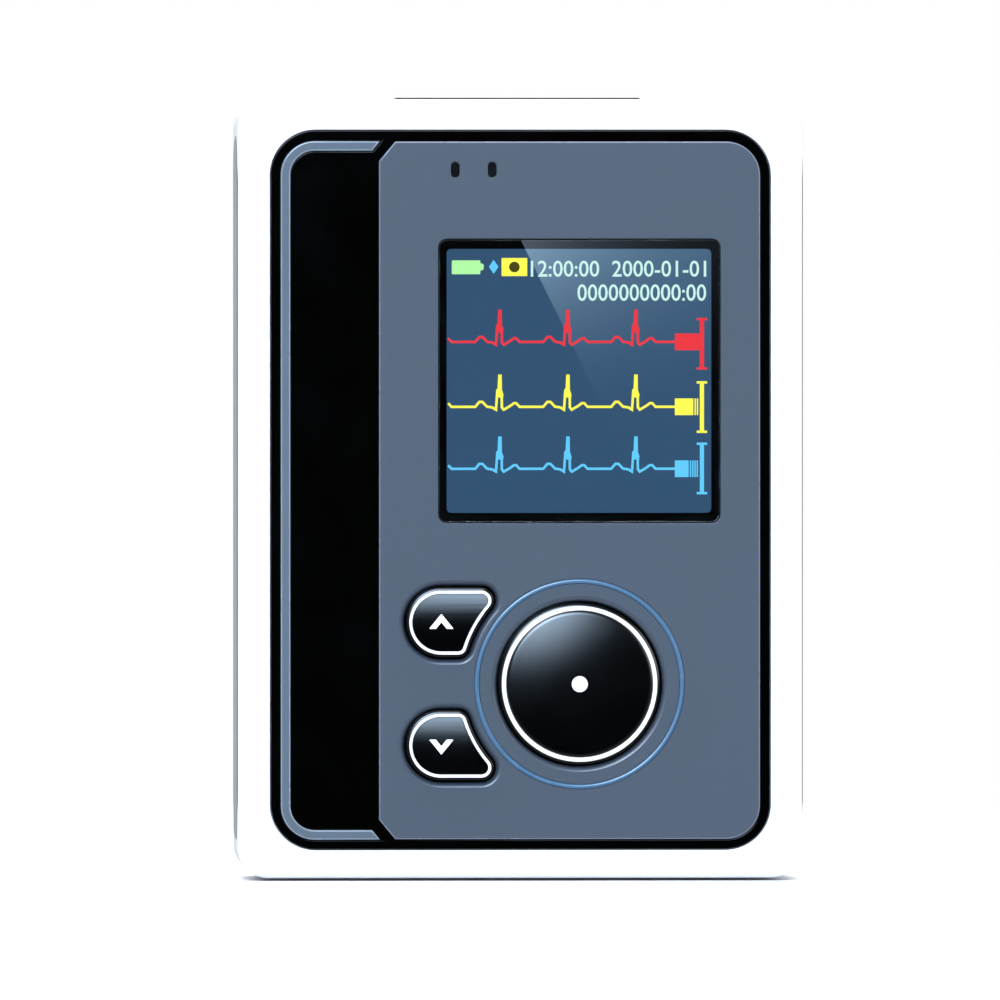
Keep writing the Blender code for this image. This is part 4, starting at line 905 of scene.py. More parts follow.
def combine(shape: Shape, operation: str, *tools: Shape) -> None:
    """Cuts tools out of a shape, joins them to it, or keeps what they share.

    Args:
        shape: the shape that stays
        operation: "DIFFERENCE", "UNION" or "INTERSECT"
        tools: the shapes that are used up
    """
    for tool in tools:
        select(shape)
        bpy.ops.object.modifier_add(type="BOOLEAN")
        modifier = shape.modifiers[-1]
        modifier.operation = operation
        modifier.solver = "EXACT"
        modifier.object = tool
        bpy.ops.object.modifier_apply(modifier=modifier.name)
        bpy.data.objects.remove(tool)


def carve(shape: Shape, *tools: Shape) -> None:
    """Cuts the tools out of a shape and uses them up."""
    combine(shape, "DIFFERENCE", *tools)


def weld(shape: Shape, *parts: Shape) -> None:
    """Makes one closed body of a shape and the parts that overlap it."""
    combine(shape, "UNION", *parts)


def anywhere(place: Vector) -> bool:
    """Accepts any place."""
    return True


def within(centre: Point, reach: float) -> Callable[[Vector], bool]:
    """Makes a test for places that lie near a point of the face."""
    return lambda place: math.hypot(place.x - centre[0], place.z - centre[1]) < reach


def soften(
    shape: Shape, reach: float, deep: float, plane: Plane = Plane.FRONT,
    near: Callable[[Vector], bool] = anywhere, steps: int = 4, slot: int = -1,
) -> None:
    """Rounds the sharp edges that lie at one depth.

    Args:
        shape: the shape
        reach: how far in from the edge the round starts
        deep: the depth of the edges
        plane: the plane that they lie on
        near: a test for the places of both ends of an edge
        steps: how many steps the round has
        slot: the number of the material that the round takes, or -1 for its neighbours' own
    """
    with editing(shape, "EDGE"):
        bpy.ops.mesh.remove_doubles(threshold=SAME)
        bpy.ops.mesh.select_all(action="DESELECT")
        mesh = bmesh.from_edit_mesh(shape.data)
        for edge in mesh.edges:
            level = all(abs(end.co.dot(plane.axis) - deep) < TOUCH for end in edge.verts)
            if not (level and edge.is_manifold and all(near(end.co) for end in edge.verts)):
                continue
            edge.select_set(edge.calc_face_angle() > SHARP)
        mesh.select_flush_mode()
        bmesh.update_edit_mesh(shape.data)
        bpy.ops.mesh.bevel(
            offset=reach, segments=steps, affect="EDGES", clamp_overlap=False, material=slot
        )


def prime(shape: Shape, *finishes: Finish) -> None:
    """Gives a shape its materials before its edges are rounded."""
    for finish in finishes:
        shape.data.materials.append(finish.make())


def slope(shape: Shape, reach: float, rise: float, deep: float) -> None:
    """Draws the front face in and lifts it, which leaves a sloping border round it.

    Args:
        shape: the shape
        reach: the border's width
        rise: how much the face is lifted
        deep: the depth that the face lies at
    """
    with editing(shape, "FACE"):
        bpy.ops.mesh.select_all(action="DESELECT")
        mesh = bmesh.from_edit_mesh(shape.data)
        for face in mesh.faces:
            face.select_set(all(abs(corner.co.y - deep) < TOUCH for corner in face.verts))
        bmesh.update_edit_mesh(shape.data)
        bpy.ops.mesh.inset(thickness=reach, depth=rise)


def copied(shape: Shape, name: str, move: Vector) -> Shape:
    """Copies a shape, its mesh too, and moves the copy.

    Args:
        shape: the shape to copy
        name: the copy's name
        move: how far it is moved

    Returns:
        the copy
    """
    select(shape)
    bpy.ops.object.duplicate(linked=False)
    copy = bpy.context.object
    copy.name = name
    bpy.ops.transform.translate(value=move)
    bpy.ops.object.transform_apply()
    return copy


def dress(
    shape: Shape, body: str, slot: str, finish: Finish, *replaced: str, smooth: float = 32.0
) -> None:
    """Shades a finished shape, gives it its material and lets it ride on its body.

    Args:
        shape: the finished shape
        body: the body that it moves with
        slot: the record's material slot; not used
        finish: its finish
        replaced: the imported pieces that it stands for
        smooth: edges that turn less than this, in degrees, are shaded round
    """
    with editing(shape):
        bpy.ops.mesh.remove_doubles(threshold=SAME)
        bpy.ops.mesh.fill_holes(sides=4)
        bpy.ops.mesh.normals_make_consistent(inside=False)
    bpy.ops.object.shade_smooth_by_angle(angle=math.radians(smooth))
    bpy.ops.object.modifier_add(type="WEIGHTED_NORMAL")
    modifier = shape.modifiers[-1]
    modifier.keep_sharp = True
    bpy.ops.object.modifier_apply(modifier=modifier.name)
    if not shape.data.materials:
        prime(shape, finish)
    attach(shape, body)
    if replaced:
        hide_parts(*replaced)
    LOG.info("%s on %s in %s, %d faces", shape.name, body, finish.name, len(shape.data.polygons))


@dataclass
class Case:
    """The white housing and rear cover, the soft side strips, the seal and the screws."""

    corner: float = 3.2 * MM
    edge: float = 1.5 * MM
    wall: float = 2.0 * MM
    shelf: float = 1.0 * MM
    pocket_edge: float = 0.16 * MM
    grip_corner: float = 4.7 * MM
    grip_edge: float = 0.35 * MM
    grip_sink: float = 0.14 * MM
    lip_width: float = 1.2 * MM
    lip_height: float = 2.0 * MM
    boss_inset: float = 4.6 * MM
    boss_radius: float = 2.4 * MM
    insert_radius: float = 1.6 * MM
    insert_length: float = 4.0 * MM
    screw_radius: float = 0.9 * MM
    head_radius: float = 1.7 * MM
    head_height: float = 1.0 * MM
    recess: float = 1.3 * MM
    drive_length: float = 2.4 * MM
    drive_width: float = 0.5 * MM
    drive_depth: float = 0.5 * MM
    thread_pitch: float = 0.6 * MM
    thread_depth: float = 0.12 * MM
    post_radius: float = 1.6 * MM
    post_bore: float = 0.82 * MM
    bay_wall: float = 1.0 * MM
    bay_floor: float = 0.8 * MM
    door_margin: float = 1.0 * MM
    pin_end: float = 1.2 * MM
    swing_room: float = 0.3 * MM
    hinge_wall: float = 1.0 * MM
    small_edge: float = 0.18 * MM

    def __post_init__(self) -> None:
        """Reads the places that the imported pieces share."""
        self.low, self.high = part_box("front_housing")
        self.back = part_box("rear_cover")[1].y
        self.cover_front = self.high.y + SEAT_GAP
        self.lip_front = self.cover_front - self.lip_height
        self.shelf_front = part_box("face_tray")[1].y + SEAT_GAP
        self.shelf_back = self.shelf_front + self.shelf
        right = self.high.x - self.boss_inset
        self.bosses = [
            (side * right, up)
            for up in (self.boss_inset, self.high.z - self.boss_inset)
            for side in (-1, 1)
        ]

    def outline(self, inset: float) -> Outline:
        """Draws the case seen from the front."""
        return around("front_housing", -inset, max(self.corner - inset, self.wall / 2))

    def ring(self, name: str, inset: float, width: float, near: float, far: float) -> Shape:
        """Makes a ring that follows the case's outline.

        Args:
            name: its name
            inset: how far in it starts
            width: how wide it is
            near: where it starts in depth
            far: where it ends in depth

        Returns:
            the ring
        """
        ring = slab(name, self.outline(inset), near, far)
        inside = slab("ring_inside", self.outline(inset + width), near - PAST, far + PAST)
        carve(ring, inside)
        return ring

    def grip_outline(self, grow: float) -> Outline:
        """Draws a soft strip seen from the side."""
        return around("side_grip_left", grow, self.grip_corner + grow, Plane.SIDE)

    def bored_post(self, place: Point, radius: float, bore: float, floor: float, top: float) -> Shape:
        """Makes a post on the shelf with a blind hole in it.

        Args:
            place: its place across and up
            radius: its radius
            bore: the hole's radius
            floor: where the hole ends in depth
            top: where the post ends in depth

        Returns:
            the post
        """
        root = self.shelf_back - self.shelf / 2
        profile = [(0.0, floor), (bore, floor), (bore, top), (radius, top)]
        profile += [(radius, root), (0.0, root)]
        return turned("post", place, profile, steps=40)

    def housing(self, openings: Sequence[Outline]) -> None:
        """Builds the tub that carries the face.

        Args:
            openings: the outlines of the openings in its shelf
        """
        tub = slab("housing_shell", self.outline(0.0), self.low.y, self.high.y)
        soften(tub, self.edge, self.low.y, steps=9)
        pocket = around("face_tray", INLAY_GAP, Face.tray_corner + INLAY_GAP)
        carve(
            tub, slab("hollow", self.outline(self.wall), self.shelf_back, self.high.y + PAST),
            slab("pocket", pocket, self.low.y - PAST, self.shelf_front),
        )
        soften(tub, self.pocket_edge, self.low.y)
        for opening in openings:
            carve(tub, slab("hole", opening, self.shelf_front - PAST, self.shelf_back + PAST))
        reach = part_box("side_grip_right")[1].x + PAST
        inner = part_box("side_grip_right")[0].x - SEAT_GAP
        for side in Side:
            first, last = side.value * inner, side.value * reach
            carve(tub, slab("recess", self.grip_outline(INLAY_GAP), first, last, Plane.SIDE))
        hole = around("lead_socket", SEAT_GAP, LeadSocket.corner + SEAT_GAP, Plane.TOP)
        start = self.high.z - self.wall - PAST
        carve(tub, slab("socket_hole", hole, start, self.high.z + PAST, Plane.TOP))
        soften(tub, self.small_edge, self.high.z, Plane.TOP, self.about_socket)
        top = self.lip_front - SEAT_GAP
        floor = top - self.insert_length - 2 * SEAT_GAP
        for place in self.bosses:
            bore = self.insert_radius + INLAY_GAP
            weld(tub, self.bored_post(place, self.boss_radius, bore, floor, top))
        board_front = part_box("main_board")[0].y
        for number in SCREWS:
            spot = middle(f"board_screw_{number}")
            floor, top = self.shelf_back + SEAT_GAP, board_front - SEAT_GAP
            post = self.bored_post((spot.x, spot.z), self.post_radius, self.post_bore, floor, top)
            weld(tub, post)
        dress(tub, "case", "white_shell", WHITE_ABS, "front_housing")

    def about_socket(self, place: Vector) -> bool:
        """Tells whether a place lies at the hole for the lead socket.

        Args:
            place: the place

        Returns:
            whether it lies there
        """
        low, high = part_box("lead_socket")
        across = low.x - PAST < place.x < high.x + PAST
        return across and low.y - PAST < place.y < high.y + PAST

    def grips(self) -> None:
        """Builds the two soft strips, with a round rim that stands proud of the case."""
        for side in Side:
            name = f"side_grip_{side.name.lower()}"
            low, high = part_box(name)
            inner, outer = (low.x, high.x) if side is Side.RIGHT else (high.x, low.x)
            outer -= side.value * self.grip_sink
            grip = slab(f"soft_{name}", self.grip_outline(0.0), inner, outer, Plane.SIDE)
            soften(grip, self.grip_edge, outer, Plane.SIDE, steps=5)
            # Both strips take the darkened grey: part the rubber's colour, part painted shade
            dress(grip, "case", "soft_grey", SHADE_DARKENED_GREY_RUBBER, name)

    def cover(self) -> None:
        """Builds the rear cover with its lip, feet, cell bay and hinge block."""
        cover = slab("back_shell", self.outline(0.0), self.cover_front, self.back)
        soften(cover, self.edge, self.back, steps=9)
        into = self.cover_front + self.edge / 3
        inset = self.wall + INLAY_GAP
        weld(cover, self.ring("lip", inset, self.lip_width, self.lip_front, into))
        start = self.lip_front + INLAY_GAP
        for place in self.bosses:
            radius = self.boss_radius - INLAY_GAP
            profile = [(0.0, start), (radius, start), (radius, into), (0.0, into)]
            weld(cover, turned("foot", place, profile, steps=40))
        door_low, door_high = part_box("battery_door")
        pin = middle("hinge_pin")
        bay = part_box("rear_cover")[0]
        inner_y = bay.y + self.bay_floor
        cell_low, cell_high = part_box("battery_cell")
        low_z = cell_low.z - SEAT_GAP
        high_z = cell_high.z + SEAT_GAP
        right = door_high.x
        room = BatteryBay.barrel_radius + SEAT_GAP
        swing = room + self.swing_room
        end = right + self.pin_end
        weld(
            cover,
            beam(
                "bay", right + self.bay_wall, (bay.y, low_z - self.bay_wall),
                (into, high_z + self.bay_wall),
            ),
            beam(
                "hinge_block", end + self.hinge_wall,
                (pin.y - room - self.hinge_wall, high_z + self.bay_wall / 2),
                (into, pin.z + swing + self.hinge_wall),
            ),
        )
        recess_front = door_high.y - BatteryBay.door_thickness - SEAT_GAP
        notch = self.back - BatteryBay.door_thickness / 2
        radius = BatteryBay.bore_radius
        bore = [(0.0, -end), (radius, -end), (radius, end), (0.0, end)]
        carve(
            cover, beam("bay_hollow", right, (inner_y, low_z), (self.cover_front + SEAT_GAP, high_z)),
            beam(
                "door_opening", right - self.door_margin, (self.cover_front - PAST, low_z),
                (self.back + PAST, high_z),
            ),
            beam(
                "door_recess", right + SEAT_GAP, (recess_front, door_low.z - SEAT_GAP),
                (self.back + PAST, pin.z + swing),
            ),
            beam(
                "barrel_pocket", right + SEAT_GAP, (pin.y - room, pin.z - room),
                (self.back, pin.z + swing),
            ),
            turned("pin_hole", (pin.y, pin.z), bore, Plane.SIDE, steps=32),
            beam(
                "finger_notch", BatteryBay.notch_width / 2,
                (notch, door_low.z - BatteryBay.notch_height), (self.back + PAST, door_low.z),
            ),
        )
        soften(cover, self.small_edge, self.back, steps=3)
        for place in self.bosses:
            bore = self.screw_radius + SEAT_GAP
            sink = self.head_radius + INLAY_GAP
            floor = self.back - self.recess
            rim = self.small_edge
            profile = [
                (0.0, self.lip_front - PAST), (bore, self.lip_front - PAST), (bore, floor),
                (sink, floor), (sink, self.back - rim), (sink + rim, self.back),
                (sink + rim + PAST, self.back + PAST), (0.0, self.back + PAST),
            ]
            carve(cover, turned("screw_hole", place, profile))
        dress(cover, "case", "white_shell", WHITE_ABS, "rear_cover")

    def seal(self) -> None:
        """Builds the rubber seal between housing and cover."""
        low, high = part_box("cover_gasket")
        inset = low.x - self.low.x
        width = self.wall - 2 * inset
        seal = self.ring("rubber_seal", inset, width, low.y, high.y)
        soften(seal, self.small_edge / 2, high.y, steps=3)
        dress(seal, "case", "rubber_grey", SILICONE, "cover_gasket")

    def screws(self) -> None:
        """Turns one case screw with its thread, cuts its cross and copies it."""
        low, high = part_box("case_screw_1")
        seat = high.y - self.head_height
        rim, third = self.small_edge, self.thread_pitch / 3
        root = self.screw_radius - self.thread_depth
        profile = [
            (0.0, high.y), (self.head_radius - 3 * rim, high.y),
            (self.head_radius - rim, high.y - rim / 2), (self.head_radius, high.y - 2 * rim),
            (self.head_radius, seat), (root, seat),
        ]
        turns = int((seat - low.y) / self.thread_pitch) - 1
        for number in range(1, turns):
            crest = seat - number * self.thread_pitch
            profile += [(root, crest + third), (self.screw_radius, crest), (root, crest - third)]
        profile += [(self.screw_radius / 3, low.y), (0.0, low.y)]
        across, up = self.bosses[0]
        screw = turned("steel_screw_1", (across, up), profile)
        long, thin, floor = self.drive_length / 2, self.drive_width / 2, high.y - self.drive_depth
        for half, rise in ((long, thin), (thin, long)):
            first = (across - half, floor, up - rise)
            carve(screw, block("drive", first, (across + half, high.y + PAST, up + rise)))
        shapes = [screw]
        for number, place in enumerate(self.bosses[1:], 2):
            move = Vector((place[0] - across, 0.0, place[1] - up))
            shapes.append(copied(screw, f"steel_screw_{number}", move))
        for number, shape in enumerate(shapes, 1):
            dress(shape, "case", "steel", PLATED_STEEL, f"case_screw_{number}")


@dataclass
class Face:
    """The black tray, the C-shaped trim, the panel, the halo ring and the light pipes."""

    tray_corner: float = 4.7 * MM
    tray_edge: float = 0.05 * MM
    pocket_edge: float = 0.02 * MM
    border: float = 1.0 * MM
    fit: float = 0.11 * MM
    chamfer: float = 2.05 * MM
    chamfer_slant: float = 0.83
    panel_corner: float = 3.6 * MM
    panel_edge: float = 0.13 * MM
    lip: float = 0.6 * MM
    opening_edge: float = 0.1 * MM
    trim_width: float = 1.04 * MM
    trim_edge: float = 0.16 * MM
    trim_setback: float = 0.83 * MM
    window_corner: float = 0.8 * MM
    slot_width: float = 0.78 * MM
    slot_height: float = 1.54 * MM
    slot_gap: float = 0.045 * MM
    halo_width: float = 0.5 * MM
    halo_fit: float = 0.05 * MM
    halo_gap: float = 0.035 * MM
    halo_crown: float = 0.08 * MM
    pipe_recess: float = 0.12 * MM

    def __post_init__(self) -> None:
        """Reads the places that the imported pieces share."""
        self.low, self.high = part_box("face_panel")
        self.tray_low, self.tray_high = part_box("face_tray")
        self.pipes = [middle(f"light_pipe_{side.name.lower()}") for side in Side]

    def panel_outline(self, grow: float) -> Outline:
        """Draws the panel: chamfered corners at the left, round ones at the right.

        Args:
            grow: how far it is drawn out

        Returns:
            the outline
        """
        left, right = self.low.x - self.fit - grow, self.high.x + self.fit + grow
        bottom, top = self.low.z - self.fit - grow, self.high.z + grow
        radius = self.panel_corner + grow
        across = self.chamfer * self.chamfer_slant
        return rounded(
            [
                (left + across, bottom), (right, bottom, radius), (right, top, radius),
                (left + across, top), (left, top - self.chamfer), (left, bottom + self.chamfer),
            ]
        )

    def trim_outline(self, grow: float) -> Outline:
        """Draws the C-shaped trim, its ends cut like the panel's corners.

        Args:
            grow: how far it is drawn out

        Returns:
            the outline
        """
        low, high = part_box("accent_trim")
        left, top = low.x - self.fit - grow, high.z + self.fit / 2 + grow
        bottom = low.z - 3 * self.fit / 2 - grow
        width = self.trim_width + 2 * grow
        outer = self.tray_corner - self.border - INLAY_GAP + grow
        inner = outer - width
        end = self.low.x - self.trim_setback + grow
        slant = width * self.chamfer_slant
        return rounded(
            [
                (end + slant, top), (left, top, outer), (left, bottom, outer), (end + slant, bottom),
                (end, bottom + width), (left + width, bottom + width, inner),
                (left + width, top - width, inner), (end, top - width),
            ]
        )

    def window_outline(self, grow: float) -> Outline:
        """Draws the display window."""
        return around("display_window", grow, self.window_corner + grow)

    def slot_outline(self, pipe: Vector, grow: float) -> Outline:
        """Draws an indicator slot with round ends."""
        half, rise = self.slot_width / 2 + grow, self.slot_height / 2 + grow
        return rectangle(pipe.x - half, pipe.x + half, pipe.z - rise, pipe.z + rise, half - SAME)

    def openings(self, buttons: "Buttons", grow: float, recess: float) -> list[Outline]:
        """Lists the outlines of all openings in the face.

        Args:
            buttons: the buttons
            grow: the clearance round window and light pipes
            recess: the clearance round the buttons

        Returns:
            the outlines
        """
        outlines = [self.window_outline(grow), circle(*buttons.main, buttons.main_radius + recess)]
        outlines += [buttons.outline(arrow, recess) for arrow in Arrow]
        return outlines + [self.slot_outline(pipe, self.slot_gap) for pipe in self.pipes]

    def tray(self, buttons: "Buttons") -> None:
        """Builds the gloss black tray with its pockets and openings.

        Args:
            buttons: the buttons that pass through it
        """
        low, high = self.tray_low, self.tray_high
        tray = slab("black_tray", around("face_tray", 0.0, self.tray_corner), low.y, high.y)
        soften(tray, self.tray_edge, low.y, steps=5)
        floor = self.high.y + SEAT_GAP
        trim_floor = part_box("accent_trim")[1].y + SEAT_GAP
        carve(
            tray, slab("panel_pocket", self.panel_outline(INLAY_GAP), low.y - PAST, floor),
            slab("trim_pocket", self.trim_outline(INLAY_GAP), low.y - PAST, trim_floor),
        )
        soften(tray, self.pocket_edge, low.y, steps=2)
        for opening in self.openings(buttons, INLAY_GAP, buttons.recess - INLAY_GAP):
            carve(tray, slab("hole", opening, low.y - PAST, high.y + PAST))
        dress(tray, "case", "gloss_black", GLOSS_BLACK_POLYCARBONATE, "face_tray")

    def trim(self) -> None:
        """Builds the pale C-shaped trim, its edges rounded so that they catch the light, with a paler
        lacquer on them as a painted highlight.
        """
        low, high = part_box("accent_trim")
        trim = slab("pale_trim", self.trim_outline(0.0), low.y, high.y)
        prime(trim, TRIM_LACQUER, TRIM_EDGE_HIGHLIGHT)
        # The rounded edges take the paler lacquer: a painted highlight
        soften(trim, self.trim_edge, low.y, steps=3, slot=1)
        dress(trim, "case", "trim_blue", TRIM_LACQUER, "accent_trim")

    def panel(self, buttons: "Buttons") -> None:
        """Builds the lacquered panel, its openings drawn in with round lips.

        Args:
            buttons: the buttons that pass through it
        """
        front, back = self.low.y, self.high.y
        panel = slab("lacquered_panel", self.panel_outline(0.0), front, back)
        prime(panel, PANEL_LACQUER, PANEL_EDGE_HIGHLIGHT)
        # The rounded outer edge takes the paler lacquer: a painted highlight
        soften(panel, self.panel_edge, front, steps=3, slot=1)
        for opening in self.openings(buttons, INLAY_GAP, buttons.recess):
            carve(panel, slab("hole", opening, front - PAST, back + PAST))
        soften(panel, self.lip, front, near=within(buttons.main, buttons.main_radius + PAST), steps=6)
        for arrow in Arrow:
            near = within(buttons.places[arrow], buttons.lip_reach)
            soften(panel, self.lip, front, near=near, steps=6)
        window = middle("display_window")
        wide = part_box("display_window")[1].x - window.x
        near = within((window.x, window.z), 2 * wide)
        soften(panel, self.opening_edge, front, near=near, steps=3)
        for pipe in self.pipes:
            near = within((pipe.x, pipe.z), self.slot_height)
            soften(panel, self.slot_gap, front, near=near, steps=3)
        low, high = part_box("halo_ring")
        outer = (high.x - low.x) / 2 + self.halo_fit + self.halo_gap
        inner = outer - self.halo_width - 2 * self.halo_gap
        floor = high.y + INLAY_GAP
        groove = [(inner, front - PAST), (outer, front - PAST), (outer, floor), (inner, floor)]
        carve(panel, turned("groove", buttons.main, groove, steps=180))
        dress(panel, "case", "panel_blue", PANEL_LACQUER, "face_panel")

    def halo(self) -> None:
        """Turns the blue ring, with a slight crown."""
        low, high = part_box("halo_ring")
        centre = middle("halo_ring")
        outer = (high.x - low.x) / 2 + self.halo_fit
        inner = outer - self.halo_width
        crown = self.halo_crown
        profile = [(inner, high.y), (inner, low.y + crown)]
        profile += [(inner + crown, low.y + crown / 4), ((inner + outer) / 2, low.y)]
        profile += [(outer - crown, low.y + crown / 4), (outer, low.y + crown), (outer, high.y)]
        ring = turned("blue_halo", (centre.x, centre.z), profile, steps=180)
        dress(ring, "case", "halo_blue", BLUE_ACRYLIC, "halo_ring", smooth=60.0)

    def light_pipes(self) -> None:
        """Builds the smoked light pipes, their faces a little sunk and their rims rounded."""
        for side, pipe in zip(Side, self.pipes):
            name = f"light_pipe_{side.name.lower()}"
            low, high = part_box(name)
            front = low.y + self.pipe_recess
            shape = slab(f"smoked_{name}", self.slot_outline(pipe, 0.0), front, high.y)
            soften(shape, self.slot_gap, front, steps=1)
            dress(shape, "case", "socket_black", SMOKED_POLYCARBONATE, name)


@dataclass
class Display:
    """The clear window, the black print behind it, the lit picture and all it shows."""

    side: float = 0.79 * MM
    end: float = 0.94 * MM
    corner: float = 0.5 * MM
    window_edge: float = 0.05 * MM
    print_gap: float = 0.02 * MM
    print_thickness: float = 0.04 * MM
    picture_thickness: float = 0.08 * MM
    ink: float = 0.03 * MM
    glass_edge: float = 0.1 * MM
    stroke: float = 0.26 * MM
    filled_above: float = 1.1 * MM
    least_square: float = 0.45
    leads: tuple[float, ...] = (9.77 * MM, 16.59 * MM, 23.10 * MM)
    trace_start: float = 0.05 * MM
    trace_end: float = 24.1 * MM
    first_beat: float = 5.61 * MM
    period: float = 7.15 * MM
    beat: tuple[Point, ...] = (
        (-2.60 * MM, 0.0), (-2.16 * MM, 0.52 * MM), (-1.84 * MM, 0.52 * MM), (-1.36 * MM, 0.02 * MM),
        (-0.80 * MM, -0.06 * MM), (-0.42 * MM, -0.30 * MM), (-0.32 * MM, 1.00 * MM),
        (-0.28 * MM, 1.72 * MM), (-0.12 * MM, 1.90 * MM), (-0.06 * MM, 3.27 * MM),
        (0.06 * MM, 3.27 * MM), (0.08 * MM, 1.75 * MM), (0.25 * MM, 1.25 * MM), (0.19 * MM, 0.95 * MM),
        (0.20 * MM, -0.05 * MM), (0.40 * MM, -0.30 * MM), (0.74 * MM, -0.10 * MM),
        (1.02 * MM, 0.06 * MM), (1.46 * MM, 0.38 * MM), (1.72 * MM, 0.38 * MM), (2.06 * MM, 0.0),
    )
    block_start: float = 24.0 * MM
    block_ends: tuple[float, ...] = (26.6 * MM, 25.95 * MM, 25.45 * MM)
    block_half: float = 0.88 * MM
    hatch_pitch: float = 0.24 * MM
    hatch_width: float = 0.15 * MM
    stem: float = 26.85 * MM
    stem_width: float = 0.44 * MM
    cap_half: float = 0.55 * MM
    cap_width: float = 0.25 * MM
    mark_reach: float = 2.72 * MM
    mark_shift: tuple[float, ...] = (0.2 * MM, 0.03 * MM, -0.03 * MM)
    battery_sign: Corners = (
        (0.55 * MM, -2.66 * MM, 0.1 * MM), (3.55 * MM, -2.66 * MM, 0.1 * MM), (3.55 * MM, -2.30 * MM),
        (3.90 * MM, -2.16 * MM, 0.08 * MM), (3.90 * MM, -1.62 * MM, 0.08 * MM), (3.55 * MM, -1.48 * MM),
        (3.55 * MM, -1.20 * MM, 0.1 * MM), (0.55 * MM, -1.20 * MM, 0.1 * MM),
    )
    link_sign: Corners = (
        (4.95 * MM, -2.62 * MM), (5.45 * MM, -1.88 * MM),
        (4.95 * MM, -1.14 * MM), (4.45 * MM, -1.88 * MM),
    )
    yellow_field: tuple[float, ...] = (5.78 * MM, 8.48 * MM, -2.86 * MM, -0.95 * MM, 0.05 * MM)
    field_dot: tuple[float, ...] = (7.13 * MM, -1.9 * MM, 0.55 * MM)
    date: tuple[str, Point, Point] = (
        "12:00:00  2000-01-01", (8.85 * MM, -2.94 * MM), (27.30 * MM, -1.22 * MM)
    )
    number: tuple[str, Point, Point] = (
        "0000000000:00", (13.75 * MM, -5.48 * MM), (27.30 * MM, -3.70 * MM)
    )

    def __post_init__(self) -> None:
        """Reads the window's and the glass's places."""
        self.low, self.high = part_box("display_window")
        self.glass_low, self.glass_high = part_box("display_glass")
        self.left, self.top = self.low.x + self.side, self.high.z - self.end
        self.right, self.bottom = self.high.x - self.side, self.low.z + self.end
        self.picture_front = self.glass_low.y - self.picture_thickness

    def window(self, face: Face) -> None:
        """Builds the clear window and the black frame printed behind it.

        Args:
            face: the face that gives the window's outline
        """
        pane = slab("clear_window", face.window_outline(0.0), self.low.y, self.high.y)
        soften(pane, self.window_edge, self.low.y, steps=3)
        dress(pane, "case", "window_clear", CLEAR_ACRYLIC, "display_window")
        near = self.high.y + self.print_gap
        far = near + self.print_thickness
        frame = slab("black_window_print", face.window_outline(-self.print_gap), near, far)
        carve(frame, slab("picture_hole", self.picture_outline(0.0), near - PAST, far + PAST))
        dress(frame, "case", "gloss_black", BLACK_PRINT)

    def picture_outline(self, grow: float) -> Outline:
        """Draws the lit picture."""
        left, right, bottom, top = self.left, self.right, self.bottom, self.top
        return rectangle(left - grow, right + grow, bottom - grow, top + grow, self.corner)

    def glass(self) -> None:
        """Builds the display glass, its drive edge at the bottom, and the lit layer on it."""
        low, high = self.glass_low, self.glass_high
        outline = around("display_glass", 0.0, self.glass_edge)
        module = slab("display_module", outline, low.y, high.y)
        soften(module, self.glass_edge, low.y, steps=2)
        dress(module, "case", "display_dark", SMOKED_POLYCARBONATE, "display_glass")
        outline = self.picture_outline(3 * self.print_gap)
        picture = slab("lit_picture", outline, self.picture_front, low.y - self.print_gap / 4)
        dress(picture, "case", "display_dark", LIT_BACKGROUND)

    def draw(self, name: str, outline: Outline, finish: Finish, layer: int = 0) -> None:
        """Lays one lit mark on the picture.

        Args:
            name: its name
            outline: its outline, from the picture's upper left corner
            finish: the colour that it glows in
            layer: how many marks lie under it
        """
        placed = shifted(outline, self.left, self.top)
        near = self.picture_front - (layer + 1) * self.ink
        mark = slab(name, placed, near, near + self.ink - self.print_gap / 4)
        dress(mark, "case", "display_dark", finish)

    def trace_points(self, baseline: float) -> list[Point]:
        """Lists the points of one heart trace, from the picture's upper left corner.

        Args:
            baseline: how far below the corner the trace runs

        Returns:
            the points from left to right
        """
        points = []
        beats = math.ceil((self.trace_end - self.first_beat) / self.period) + 1
        for number in range(-1, beats):
            peak = self.first_beat + number * self.period
            points += [(peak + along, rise - baseline) for along, rise in self.beat]
        kept = [point for point in points if self.trace_start < point[0] < self.trace_end]
        return kept + [(self.trace_end, -baseline)]

    def ribbon(self, points: Sequence[Point], baseline: float) -> Outline:
        """Gives a trace its width; its spikes are filled above their feet.

        Args:
            points: the line's points
            baseline: how far below the corner the trace runs

        Returns:
            the outline round it
        """
        sides: list[list[Point]] = [[], []]
        for number, point in enumerate(points):
            before = points[max(number - 1, 0)]
            after = points[min(number + 1, len(points) - 1)]
            arrive = Vector((point[0] - before[0], point[1] - before[1]))
            leave = Vector((after[0] - point[0], after[1] - point[1]))
            arrive = (arrive if arrive.length else leave).normalized()
            leave = (leave if leave.length else arrive).normalized()
            square = Vector((-arrive.y - leave.y, arrive.x + leave.x)).normalized()
            share = max(square.dot(Vector((-arrive.y, arrive.x))), self.least_square)
            reach = self.stroke / 2 / share
            for side, corners in zip((1, -1), sides):
                if side < 0 and point[1] + baseline > self.filled_above:
                    continue
                corners.append((point[0] + side * reach * square.x, point[1] + side * reach * square.y))
        return rounded(sides[0] + sides[1][::-1])

